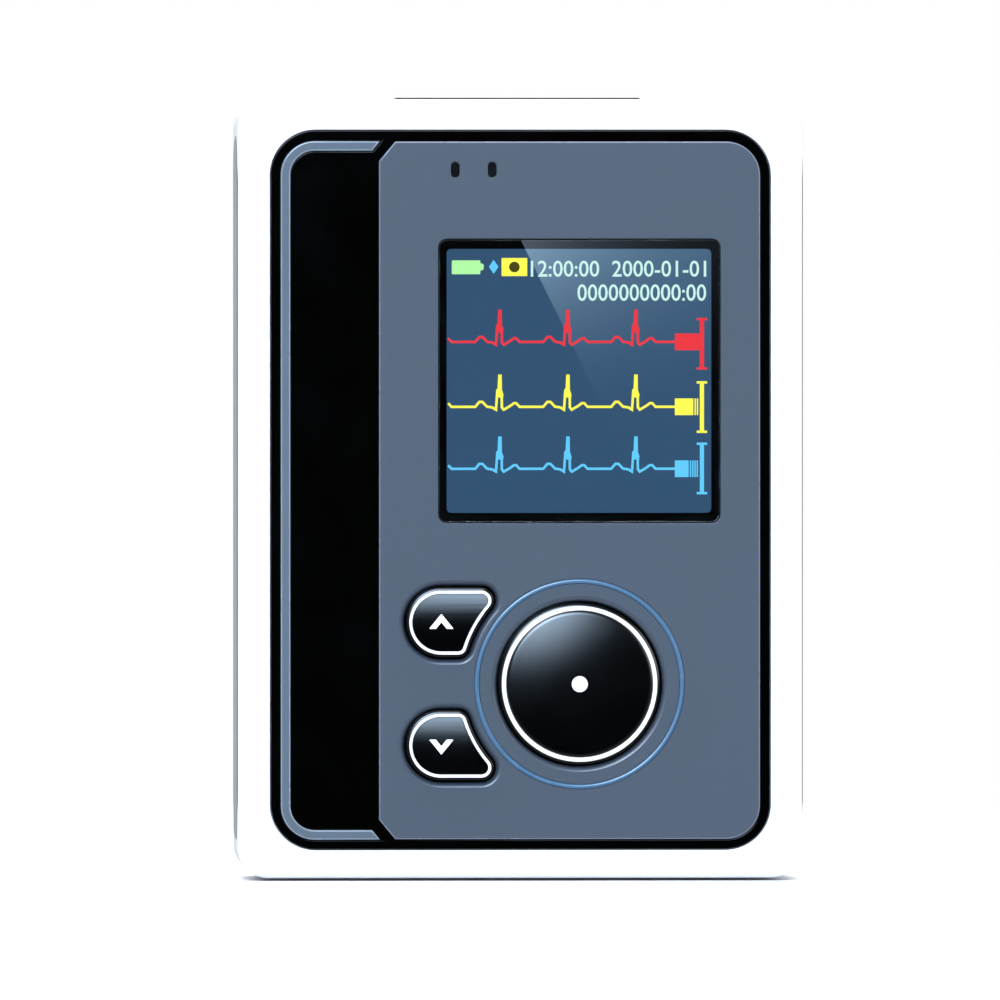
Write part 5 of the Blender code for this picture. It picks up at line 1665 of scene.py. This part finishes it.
    def lead(self, lead: Lead, finish: Finish) -> None:
        """Draws one trace, and the scale mark at its right end.

        Args:
            lead: which trace it is
            finish: its colour
        """
        name = f"{lead.name.lower()}_lead"
        down = self.leads[lead.value]
        self.draw(f"{name}_trace", self.ribbon(self.trace_points(down), down), finish)
        half, end = self.block_half, self.block_ends[lead.value]
        block_outline = rectangle(self.block_start, end, -down - half, -down + half, self.ink)
        self.draw(f"{name}_block", block_outline, finish)
        middle_up = -down - self.mark_shift[lead.value]
        stem_left = self.stem - self.stem_width / 2
        bars = int((stem_left - end) / self.hatch_pitch)
        for number in range(bars):
            start = end + self.hatch_pitch / 2 + number * self.hatch_pitch
            bar = rectangle(start, start + self.hatch_width, -down - half, -down + half, self.ink)
            self.draw(f"{name}_hatch_{number + 1}", bar, finish)
        reach, stem, cap, wide = self.mark_reach, self.stem_width / 2, self.cap_half, self.cap_width
        half_mark = [
            (cap, -reach), (cap, -reach + wide), (stem, -reach + wide), (stem, reach - wide),
            (cap, reach - wide), (cap, reach),
        ]
        outline = rounded(half_mark + [(-across, -up) for across, up in half_mark])
        self.draw(f"{name}_scale", shifted(outline, self.stem, middle_up), finish)

    def digits(self, name: str, words: str, low: Point, high: Point, finish: Finish) -> None:
        """Sets a line of digits into a box.

        Args:
            name: its name
            words: the digits
            low: the box's lower left corner, from the picture's upper left corner
            high: the box's upper right corner
            finish: the colour that they glow in
        """
        clear_selection()
        bpy.ops.object.text_add()
        text = bpy.context.object
        text.name = name
        text.data.body = words
        text.data.size = high[1] - low[1]
        text.data.resolution_u = 3
        text.data.offset = self.ink / 2
        text.data.extrude = self.ink / 3
        select(text)
        bpy.ops.object.convert(target="MESH")
        shape = bpy.context.object
        first, last = Vector(shape.bound_box[0]), Vector(shape.bound_box[6])
        wide, tall = last.x - first.x, last.y - first.y
        bpy.ops.transform.translate(value=(-first.x, -first.y, 0.0))
        bpy.ops.object.transform_apply()
        shape.scale = ((high[0] - low[0]) / wide, (high[1] - low[1]) / tall, 1.0)
        shape.rotation_euler = UPRIGHT
        near = self.picture_front - self.ink / 2
        shape.location = (self.left + low[0], near, self.top + low[1])
        bpy.ops.object.transform_apply()
        with editing(shape):
            bpy.ops.mesh.remove_doubles(threshold=SAME)
            bpy.ops.mesh.dissolve_degenerate(threshold=SAME)
        dress(shape, "case", "display_dark", finish)

    def status_line(self) -> None:
        """Draws the battery and link signs, the yellow field with its dot, and the digits."""
        self.draw("battery_sign", rounded(self.battery_sign), LIT_GREEN)
        self.draw("link_sign", rounded(self.link_sign), LIT_BLUE)
        self.draw("yellow_field", rectangle(*self.yellow_field), LIT_YELLOW)
        self.draw("field_dot", circle(*self.field_dot), DARK_DOTS, layer=1)
        self.digits("date_digits", *self.date, LIT_MINT)
        self.digits("number_digits", *self.number, LIT_MINT)

    def build(self, face: Face) -> None:
        """Builds the whole display.

        Args:
            face: the face that the window is let into
        """
        self.window(face)
        self.glass()
        for lead, finish in zip(Lead, (LIT_RED, LIT_YELLOW, LIT_BLUE)):
            self.lead(lead, finish)
        self.status_line()


@dataclass
class Buttons:
    """The round main button and the two side buttons with their arrows."""

    main_radius: float = 8.18 * MM
    recess: float = 0.5 * MM
    flange: float = 0.8 * MM
    flange_thickness: float = 0.6 * MM
    stem_radius: float = 1.3 * MM
    rim_width: float = 0.47 * MM
    side_rim_width: float = 0.33 * MM
    rim_depth: float = 0.6 * MM
    rim_round: float = 0.15 * MM
    skirt: float = 0.25 * MM
    skirt_drop: float = 0.04 * MM
    skirt_round: float = 0.1 * MM
    cap_gap: float = 0.04 * MM
    dome: float = 0.4 * MM
    dome_edge: float = 0.12 * MM
    crown: float = 0.2 * MM
    barrel_radius: float = 22.0 * MM
    dot_radius: float = 0.84 * MM
    mark_depth: float = 0.3 * MM
    side_radius: float = 3.36 * MM
    sweep: float = 12.50 * MM
    long_corner: float = 1.05 * MM
    short_corner: float = 0.84 * MM
    lip_reach: float = 6.4 * MM
    arrow_half: float = 0.93 * MM
    arrow_height: float = 1.14 * MM
    arrow_stroke: float = 0.56 * MM
    arrow_lift: float = -0.08 * MM
    mark_round: float = 0.05 * MM
    mark_edge: float = 0.03 * MM
    dome_steps: int = 24
    rim_steps: int = 8

    def __post_init__(self) -> None:
        """Reads the buttons' places from the switches under them."""
        main = middle("main_switch")
        self.main = (main.x, main.z)
        self.places = {}
        for arrow in Arrow:
            spot = middle(f"{arrow.name.lower()}_switch")
            self.places[arrow] = (spot.x, spot.z)
        self.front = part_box("main_button")[0].y
        self.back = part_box("main_button")[1].y
        self.flange_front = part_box("face_tray")[1].y + SEAT_GAP

    def outline(self, arrow: Arrow, grow: float) -> Outline:
        """Draws a side button; its long edge runs round the main button.

        Args:
            arrow: which button it is
            grow: how far it is drawn out

        Returns:
            the outline
        """
        place = self.places[arrow]
        reach, rise = self.main[0] - place[0], abs(self.main[1] - place[1])
        radius, sweep = self.side_radius + grow, self.sweep - grow
        long_radius, short_radius = self.long_corner + grow, self.short_corner + grow
        long_up = rise + radius - long_radius
        short_up = rise - radius + short_radius
        long_angle = math.pi - math.asin(long_up / (sweep + long_radius))
        short_angle = math.pi - math.asin(short_up / (sweep + short_radius))
        half = math.pi / 2
        long_out = (sweep + long_radius) * math.cos(long_angle)
        short_out = (sweep + short_radius) * math.cos(short_angle)
        bends = [
            Bend(reach + long_out, long_up - rise, long_radius, half, long_angle - 3 * half),
            Bend(reach, -rise, sweep, long_angle, short_angle - long_angle),
            Bend(
                reach + short_out, short_up - rise, short_radius, short_angle - math.pi,
                half - short_angle,
            ),
            Bend(0.0, 0.0, radius, -half, -math.pi),
        ]
        side = arrow.value
        return [
            Bend(
                place[0] + bend.across, place[1] + side * bend.up, bend.radius, side * bend.start,
                side * bend.sweep,
            )
            for bend in bends
        ]

    def arrow_outline(self, arrow: Arrow, grow: float) -> Outline:
        """Draws an arrow mark of two strokes.

        Args:
            arrow: the way that it points
            grow: how far it is drawn out

        Returns:
            the outline
        """
        slope = math.atan2(self.arrow_height, self.arrow_half)
        across = self.arrow_stroke / 2 / math.sin(slope) + grow / math.sin(slope)
        above = self.arrow_stroke / 2 / math.cos(slope) + grow / math.cos(slope)
        low = self.arrow_lift - self.arrow_height / 2
        peak = low + self.arrow_height
        half, foot = self.arrow_half, low - grow
        turn = self.mark_round
        points = [
            (0.0, peak + above, turn), (half + across, foot, turn), (half - across, foot, turn),
            (0.0, peak - above, 0.0), (-half + across, foot, turn), (-half - across, foot, turn),
        ]
        place = self.places[arrow]
        return rounded([(place[0] + x, place[1] + arrow.value * up, turn) for x, up, turn in points])

    def barrel(self, place: Point) -> Shape:
        """Draws a flat arc from the side and extrudes it across, to give a cap its crown.

        Args:
            place: the cap's middle, across and up

        Returns:
            the barrel-shaped block
        """
        reach, radius = self.lip_reach, self.barrel_radius
        half = math.asin(reach / radius)
        deep = self.back + PAST
        outline = [
            Bend(self.front + radius, place[1], radius, math.pi - half, 2 * half),
            Bend(deep, place[1] - reach), Bend(deep, place[1] + reach),
        ]
        return slab("barrel", outline, place[0] - reach, place[0] + reach, Plane.SIDE)

    def foot(self, place: Point) -> Shape:
        """Turns the stem that reaches back to a switch.

        Args:
            place: its axis, across and up

        Returns:
            the stem
        """
        start = self.flange_front + self.flange_thickness / 2
        profile = [(0.0, start), (self.stem_radius, start)]
        profile += [(self.stem_radius, self.back), (0.0, self.back)]
        return turned("stem", place, profile)

    def side_button(self, arrow: Arrow) -> None:
        """Builds one side button: cap with flange and stem, bright rim and arrow mark.

        Args:
            arrow: which button it is
        """
        word = arrow.name.lower()
        body = f"{word}_button_body"
        place = self.places[arrow]
        step = self.front + self.rim_depth
        flange_back = self.flange_front + self.flange_thickness
        core = -self.side_rim_width - self.cap_gap
        cap = slab(f"black_{word}_cap", self.outline(arrow, core), self.front - PAST, flange_back)
        combine(cap, "INTERSECT", self.barrel(place))
        skirt_front = step + self.cap_gap + self.skirt_drop
        skirt = slab("skirt", self.outline(arrow, self.skirt), skirt_front, flange_back)
        slope(skirt, self.skirt, self.skirt_drop, skirt_front)
        soften(skirt, self.skirt_round, skirt_front)
        flange = slab(
            "flange", self.outline(arrow, self.flange), self.flange_front, flange_back + self.cap_gap
        )
        weld(cap, skirt, flange, self.foot(place))
        floor = self.front + self.mark_depth
        carve(cap, slab("seat", self.arrow_outline(arrow, self.cap_gap), self.front - PAST, floor))
        dress(cap, body, "gloss_black", CAP_BLACK, f"{word}_button")
        rim_front = self.front + self.crown / 3
        rim = slab(f"bright_{word}_rim", self.outline(arrow, 0.0), rim_front, step)
        inside = self.outline(arrow, -self.side_rim_width)
        carve(rim, slab("inside", inside, rim_front - PAST, step + PAST))
        soften(rim, self.rim_round, rim_front, steps=5)
        dress(rim, body, "bright_rim", POLISHED_WHITE_ABS, f"{word}_button_rim")
        mark = slab(
            f"white_{word}_arrow", self.arrow_outline(arrow, 0.0), self.front, floor - self.cap_gap
        )
        soften(mark, self.mark_edge, self.front, steps=2)
        dress(mark, body, "white_mark", POLISHED_WHITE_ABS, f"{word}_button_mark")

    def main_button(self) -> None:
        """Turns the round button: domed cap with flange and stem, bright rim and dot."""
        body = "main_button_body"
        outer = self.main_radius
        inner = outer - self.rim_width
        core = inner - self.cap_gap
        base = self.front + self.dome
        step = base + self.rim_depth
        flange_back = self.flange_front + self.flange_thickness
        seat = self.dot_radius + self.cap_gap
        ball = (core * core + self.dome * self.dome) / (2 * self.dome)
        profile = [(0.0, self.front + self.mark_depth), (seat, self.front + self.mark_depth)]
        for number in range(self.dome_steps + 1):
            radius = seat + (core - self.dome_edge - seat) * number / self.dome_steps
            profile.append((radius, self.front + ball - math.sqrt(ball * ball - radius * radius)))
        edge = profile[-1][1]
        skirt_front = step + self.cap_gap + self.skirt_drop
        profile += [
            (core - self.dome_edge / 4, edge + self.dome_edge / 3), (core, edge + self.dome_edge),
            (core, step + self.cap_gap), (outer, step + self.cap_gap),
            (outer + self.skirt - self.skirt_round, skirt_front),
            (outer + self.skirt - self.skirt_round / 3, skirt_front + self.skirt_round / 3),
            (outer + self.skirt, skirt_front + self.skirt_round),
            (outer + self.skirt, self.flange_front), (outer + self.flange, self.flange_front),
            (outer + self.flange, flange_back), (self.stem_radius, flange_back),
            (self.stem_radius, self.back), (0.0, self.back),
        ]
        cap = turned("black_main_cap", self.main, profile, steps=160)
        dress(cap, body, "gloss_black", CAP_BLACK, "main_button")
        crest = base - self.crown / 2
        half = self.rim_width / 2
        ring = [(inner, step), (outer, step)]
        for number in range(self.rim_steps + 1):
            angle = math.pi * number / self.rim_steps
            ring.append(
                ((inner + outer) / 2 + half * math.cos(angle), crest + half * (1 - math.sin(angle)))
            )
        rim = turned("bright_main_rim", self.main, ring, steps=160)
        dress(rim, body, "bright_rim", POLISHED_WHITE_ABS, "main_button_rim", smooth=50.0)
        dot = [(0.0, self.front), (self.dot_radius - self.cap_gap, self.front)]
        dot += [(self.dot_radius, self.front + self.cap_gap)]
        floor = self.front + self.mark_depth - self.cap_gap
        dot += [(self.dot_radius, floor), (0.0, floor)]
        mark = turned("white_main_dot", self.main, dot, steps=64)
        dress(mark, body, "white_mark", POLISHED_WHITE_ABS, "main_button_mark")

    def build(self) -> None:
        """Builds all three buttons."""
        self.main_button()
        for arrow in Arrow:
            self.side_button(arrow)


@dataclass
class LeadSocket:
    """The socket for the electrode leads, open at the top, with its gold blades."""

    corner: float = 0.9 * MM
    wall: float = 1.1 * MM
    floor: float = 2.8 * MM
    edge: float = 0.2 * MM
    blades: int = 8
    blade_width: float = 1.1 * MM
    blade_thickness: float = 0.4 * MM
    bar_height: float = 1.2 * MM
    blade_edge: float = 0.14 * MM

    def build(self) -> None:
        """Builds the shell, then one blade that is copied along the bar."""
        low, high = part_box("lead_socket")
        outer = around("lead_socket", 0.0, self.corner, Plane.TOP)
        shell = slab("socket_shell", outer, low.z, high.z, Plane.TOP)
        inner = around("lead_socket", -self.wall, self.corner / 2, Plane.TOP)
        carve(shell, slab("cavity", inner, low.z + self.floor, high.z + PAST, Plane.TOP))
        soften(shell, self.edge, high.z, Plane.TOP)
        dress(shell, "case", "socket_black", SOCKET_NYLON, "lead_socket")
        low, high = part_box("lead_contacts")
        bar = block("lead_blades", low, (high.x, high.y, low.z + self.bar_height))
        pitch = (high.x - low.x) / self.blades
        front = low.y + INLAY_GAP
        left = low.x + (pitch - self.blade_width) / 2
        blade = block(
            "blade", (left, front, low.z + self.bar_height / 2),
            (left + self.blade_width, front + self.blade_thickness, high.z),
        )
        soften(blade, self.blade_edge, high.z, Plane.TOP, steps=3)
        blades = [blade]
        for number in range(1, self.blades):
            blades.append(copied(blade, "blade", Vector((number * pitch, 0.0, 0.0))))
        weld(bar, *blades)
        dress(bar, "case", "gold", GOLD_PLATE, "lead_contacts")


@dataclass
class BatteryBay:
    """The cell with its contacts, and the door with its barrel, pin and foam pad."""

    door_thickness: float = 1.2 * MM
    door_corner: float = 1.2 * MM
    door_edge: float = 0.15 * MM
    barrel_radius: float = 1.3 * MM
    bore_radius: float = 0.75 * MM
    notch_width: float = 12.0 * MM
    notch_depth: float = 0.5 * MM
    notch_height: float = 2.2 * MM
    cell_edge: float = 0.6 * MM
    nub_radius: float = 1.9 * MM
    nub_height: float = 1.0 * MM
    crimp: float = 0.15 * MM
    contact_edge: float = 0.12 * MM
    wire: float = 0.3 * MM
    spring_base: float = 3.8 * MM
    spring_tip: float = 1.8 * MM
    spring_turns: float = 2.5
    turn_steps: int = 40
    pad_edge: float = 0.12 * MM

    def door(self) -> None:
        """Builds the door with its barrel and pull notch, and the pin."""
        low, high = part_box("battery_door")
        pin = middle("hinge_pin")
        near = high.y - self.door_thickness
        outline = rounded(
            [
                (low.x, low.z, self.door_corner), (high.x, low.z, self.door_corner),
                (high.x, pin.z), (low.x, pin.z),
            ]
        )
        door = slab("cell_door", outline, near, high.y)
        soften(door, self.door_edge, high.y, near=lambda place: place.z < pin.z - TOUCH, steps=3)
        axis = (pin.y, pin.z)
        radius, bore = self.barrel_radius, self.bore_radius
        barrel = [(0.0, low.x), (radius, low.x), (radius, high.x), (0.0, high.x)]
        weld(door, turned("barrel", axis, barrel, Plane.SIDE, steps=64))
        reach = high.x + PAST
        hole = [(0.0, -reach), (bore, -reach), (bore, reach), (0.0, reach)]
        carve(
            door, turned("bore", axis, hole, Plane.SIDE, steps=32),
            beam(
                "pull_notch", self.notch_width / 2, (high.y - self.notch_depth, low.z - PAST),
                (high.y + PAST, low.z + self.notch_height),
            ),
        )
        dress(door, "battery_door_body", "white_shell", WHITE_ABS, "battery_door")
        low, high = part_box("hinge_pin")
        radius, edge = (high.z - low.z) / 2, self.pad_edge
        profile = [(0.0, low.x), (radius - edge, low.x), (radius, low.x + edge)]
        profile += [(radius, high.x - edge), (radius - edge, high.x), (0.0, high.x)]
        rod = turned("steel_pin", axis, profile, Plane.SIDE, steps=40)
        dress(rod, "case", "steel", PLATED_STEEL, "hinge_pin")
        low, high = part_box("door_pad")
        pad = slab("foam_pad", around("door_pad", 0.0, 4 * self.pad_edge), low.y, high.y)
        soften(pad, self.pad_edge, low.y, steps=3)
        dress(pad, "battery_door_body", "foam_black", CLOSED_CELL_FOAM, "door_pad")

    def cell(self) -> None:
        """Turns the cell, with crimped shoulders and a round-edged nub."""
        low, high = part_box("battery_cell")
        centre = middle("battery_cell")
        radius, edge, crimp = (high.z - low.z) / 2, self.cell_edge, self.crimp
        shoulder = high.x - self.nub_height
        sleeve_end = shoulder - edge
        profile = [
            (0.0, low.x + crimp), (radius / 2, low.x + crimp), (radius / 2 + crimp, low.x),
            (radius - edge, low.x), (radius - crimp, low.x + edge / 2), (radius - crimp, low.x + edge),
            (radius, low.x + edge + crimp), (radius, sleeve_end - crimp), (radius - crimp, sleeve_end),
            (radius - crimp, shoulder - crimp), (radius - edge, shoulder),
            (self.nub_radius + edge, shoulder), (self.nub_radius + crimp, shoulder + crimp / 2),
            (self.nub_radius, shoulder + crimp), (self.nub_radius, high.x - crimp),
            (self.nub_radius - crimp, high.x), (0.0, high.x),
        ]
        axis = (centre.y, centre.z)
        cell = turned("sleeved_cell", axis, profile, Plane.SIDE, steps=72)
        sleeve = replace(CELL_SLEEVE, left=low.x + edge, right=sleeve_end)
        dress(cell, "case", "cell_wrap", sleeve, "battery_cell")

    def contacts(self) -> None:
        """Builds the flat contact with its rounded edge, and winds the spring."""
        low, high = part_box("battery_contact")
        outline = around("battery_contact", 0.0, 3 * self.contact_edge, Plane.SIDE)
        contact = slab("flat_contact", outline, high.x, low.x, Plane.SIDE)
        soften(contact, self.contact_edge, low.x, Plane.SIDE, steps=3)
        dress(contact, "case", "tin", TINNED_STEEL, "battery_contact")
        low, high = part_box("battery_spring")
        centre = middle("battery_cell")
        curve = bpy.data.curves.new("coiled_contact", "CURVE")
        curve.dimensions = "3D"
        curve.bevel_depth = self.wire
        curve.bevel_resolution = 4
        curve.use_fill_caps = True
        count = round(self.spring_turns * self.turn_steps)
        line = curve.splines.new("POLY")
        line.points.add(count)
        for number, point in enumerate(line.points):
            share = number / count
            angle = 2 * math.pi * self.spring_turns * share
            radius = self.spring_base + (self.spring_tip - self.spring_base) * share
            along = low.x + self.wire + (high.x - low.x - 2 * self.wire) * share
            point.co = (
                along, centre.y + radius * math.cos(angle), centre.z + radius * math.sin(angle), 1.0
            )
        coil = bpy.data.objects.new("coiled_contact", curve)
        bpy.context.scene.collection.objects.link(coil)
        select(coil)
        bpy.ops.object.convert(target="MESH")
        with editing(bpy.context.object):
            bpy.ops.mesh.remove_doubles(threshold=SAME)
            bpy.ops.mesh.normals_make_consistent(inside=False)
        dress(bpy.context.object, "case", "steel", PLATED_STEEL, "battery_spring", smooth=60.0)

    def build(self) -> None:
        """Builds the cell, its contacts and the door."""
        self.cell()
        self.contacts()
        self.door()


@dataclass
class Inside:
    """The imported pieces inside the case, which keep their shapes and get their materials."""

    finishes: tuple[tuple[Finish, Sequence[str]], ...] = (
        (BOARD, ["main_board"]), (CHIP_EPOXY, ["processor_chip", "amplifier_chip", "memory_card"]),
        (TINNED_STEEL, ["radio_module", "shield_can", "card_socket"]),
        (TINNED_STEEL, ["main_switch", "up_switch", "down_switch"]),
        (DIFFUSER_FILM, ["display_backlight", "indicator_lamp_left", "indicator_lamp_right"]),
        (POLYIMIDE, ["display_cable"]), (SOCKET_NYLON, ["display_connector"]),
        (PLATED_STEEL, [f"board_screw_{number}" for number in SCREWS]),
        (TURNED_BRASS, [f"screw_insert_{number}" for number in SCREWS]),
    )

    def build(self, nodes: dict[str, Shape]) -> None:
        """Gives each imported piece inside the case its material.

        Args:
            nodes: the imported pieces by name
        """
        for finish, names in self.finishes:
            for name in names:
                mesh = nodes[name].data
                mesh.materials.clear()
                mesh.materials.append(finish.make())
                LOG.info("%s keeps its shape, in %s", name, finish.name)


@dataclass
class Studio:
    """The camera, the pale floor, the surroundings and the lights."""

    aim: Place = (-2.15 * MM, -9.4 * MM, 39.74 * MM)
    distance: float = 2.5
    view_width: float = 105.0 * MM
    sensor: float = 36.0
    yaw: float = math.radians(2.15)
    rise: float = math.radians(0.8)
    floor_radius: float = 0.7
    floor_drop: float = 0.3 * MM
    surround: float = 0.35
    dark_card: tuple[float, float] = (math.radians(14), math.radians(34))
    window_card: tuple[float, float] = (0.0, math.radians(19))
    window_towards: Place = (-0.139, -0.940, 0.313)
    window_glow: float = 26.0
    window_colour: str = "#C8E4FF"
    lights: tuple[tuple[str, Place, float, float, str], ...] = (
        ("key_softbox", (-0.62, -1.35, 0.95), 0.75, 7.0, "#FFFFFF"),
        ("fill_softbox", (1.3, -1.1, 0.5), 0.9, 8.0, "#F6F7FF"),
        ("overhead_softbox", (0.0, -0.15, 1.6), 1.3, 24.0, "#FFFFFF"),
        ("rear_softbox", (0.0, 1.2, 0.8), 1.0, 10.0, "#FFFFFF"),
    )

    def camera(self) -> None:
        """Sets the camera up, nearly square to the face."""
        scene = bpy.context.scene
        data = bpy.data.cameras.new("camera")
        data.sensor_width = self.sensor
        data.lens = self.sensor * self.distance / self.view_width
        data.clip_end = 4 * self.floor_radius
        camera = bpy.data.objects.new("camera", data)
        scene.collection.objects.link(camera)
        level = math.cos(self.rise)
        back = Vector((-math.sin(self.yaw) * level, -math.cos(self.yaw) * level, math.sin(self.rise)))
        camera.location = Vector(self.aim) + self.distance * back
        camera.rotation_euler = (-back).to_track_quat("-Z", "Y").to_euler()
        scene.camera = camera
        scene.view_settings.view_transform = "Standard"

    def floor(self) -> None:
        """Lays a pale floor a hair's breadth under the recorder, which draws a contact line."""
        clear_selection()
        bpy.ops.mesh.primitive_circle_add(
            vertices=96, radius=self.floor_radius, fill_type="NGON",
            location=(0.0, 0.0, -self.floor_drop),
        )
        floor = bpy.context.object
        floor.name = "studio_floor"
        floor.data.materials.append(PAPER.make())
        floor.visible_glossy = False
        floor.visible_transmission = False

    def surroundings(self) -> None:
        """Surrounds the recorder with even light, a dark card and a soft window."""
        world = bpy.data.worlds.new("studio")
        bpy.context.scene.world = world
        world.use_nodes = True
        tree = world.node_tree
        tree.nodes.clear()
        looking = add_node(tree, "TexCoord", output="Generated")
        glows = []
        for direction, angles, middle_glow, outer_glow in (
            ((0.0, -1.0, 0.0), self.dark_card, 0.0, self.surround),
            (self.window_towards, self.window_card, self.window_glow, 0.0),
        ):
            facing = (looking, direction)
            facing = add_node(tree, "VectorMath", facing, "Value", operation="DOT_PRODUCT")
            angle = add_node(tree, "Math", [facing], operation="ARCCOSINE")
            edge = (angle, *angles, middle_glow, outer_glow)
            glows.append(add_node(tree, "MapRange", edge, interpolation_type="SMOOTHSTEP"))
        room, window, backdrop = [
            add_node(tree, "Background", (linear(colour), strength))
            for colour, strength in zip(("#FFFFFF", self.window_colour, "#FFFFFF"), glows + [1.0])
        ]
        both = add_node(tree, "AddShader", (room, window))
        seen = add_node(tree, "LightPath", output="Is Camera Ray")
        shown = add_node(tree, "MixShader", (seen, both, backdrop))
        add_node(tree, "OutputWorld", [shown])

    def softboxes(self) -> None:
        """Hangs the softboxes, each turned to the recorder."""
        for name, place, size, power, colour in self.lights:
            data = bpy.data.lights.new(name, "AREA")
            data.shape = "SQUARE"
            data.size = size
            data.energy = power
            data.color = linear(colour)[:3]
            light = bpy.data.objects.new(name, data)
            bpy.context.scene.collection.objects.link(light)
            light.location = place
            away = Vector(place) - Vector(self.aim)
            light.rotation_euler = away.to_track_quat("Z", "Y").to_euler()
            light.visible_camera = False

    def build(self) -> None:
        """Sets the whole studio up."""
        self.camera()
        self.floor()
        self.surroundings()
        self.softboxes()


def main() -> None:
    """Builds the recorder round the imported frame, in the studio."""
    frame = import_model()
    Studio().build()
    buttons = Buttons()
    face = Face()
    case = Case()
    case.housing(face.openings(buttons, INLAY_GAP, buttons.flange + SEAT_GAP))
    case.grips()
    case.cover()
    case.seal()
    case.screws()
    face.tray(buttons)
    face.trim()
    face.panel(buttons)
    face.halo()
    face.light_pipes()
    Display().build(face)
    buttons.build()
    LeadSocket().build()
    BatteryBay().build()
    Inside().build(frame["nodes"])
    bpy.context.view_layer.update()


if __name__ == "__main__":
    logging.basicConfig(level=logging.INFO, format="%(message)s")
    main()
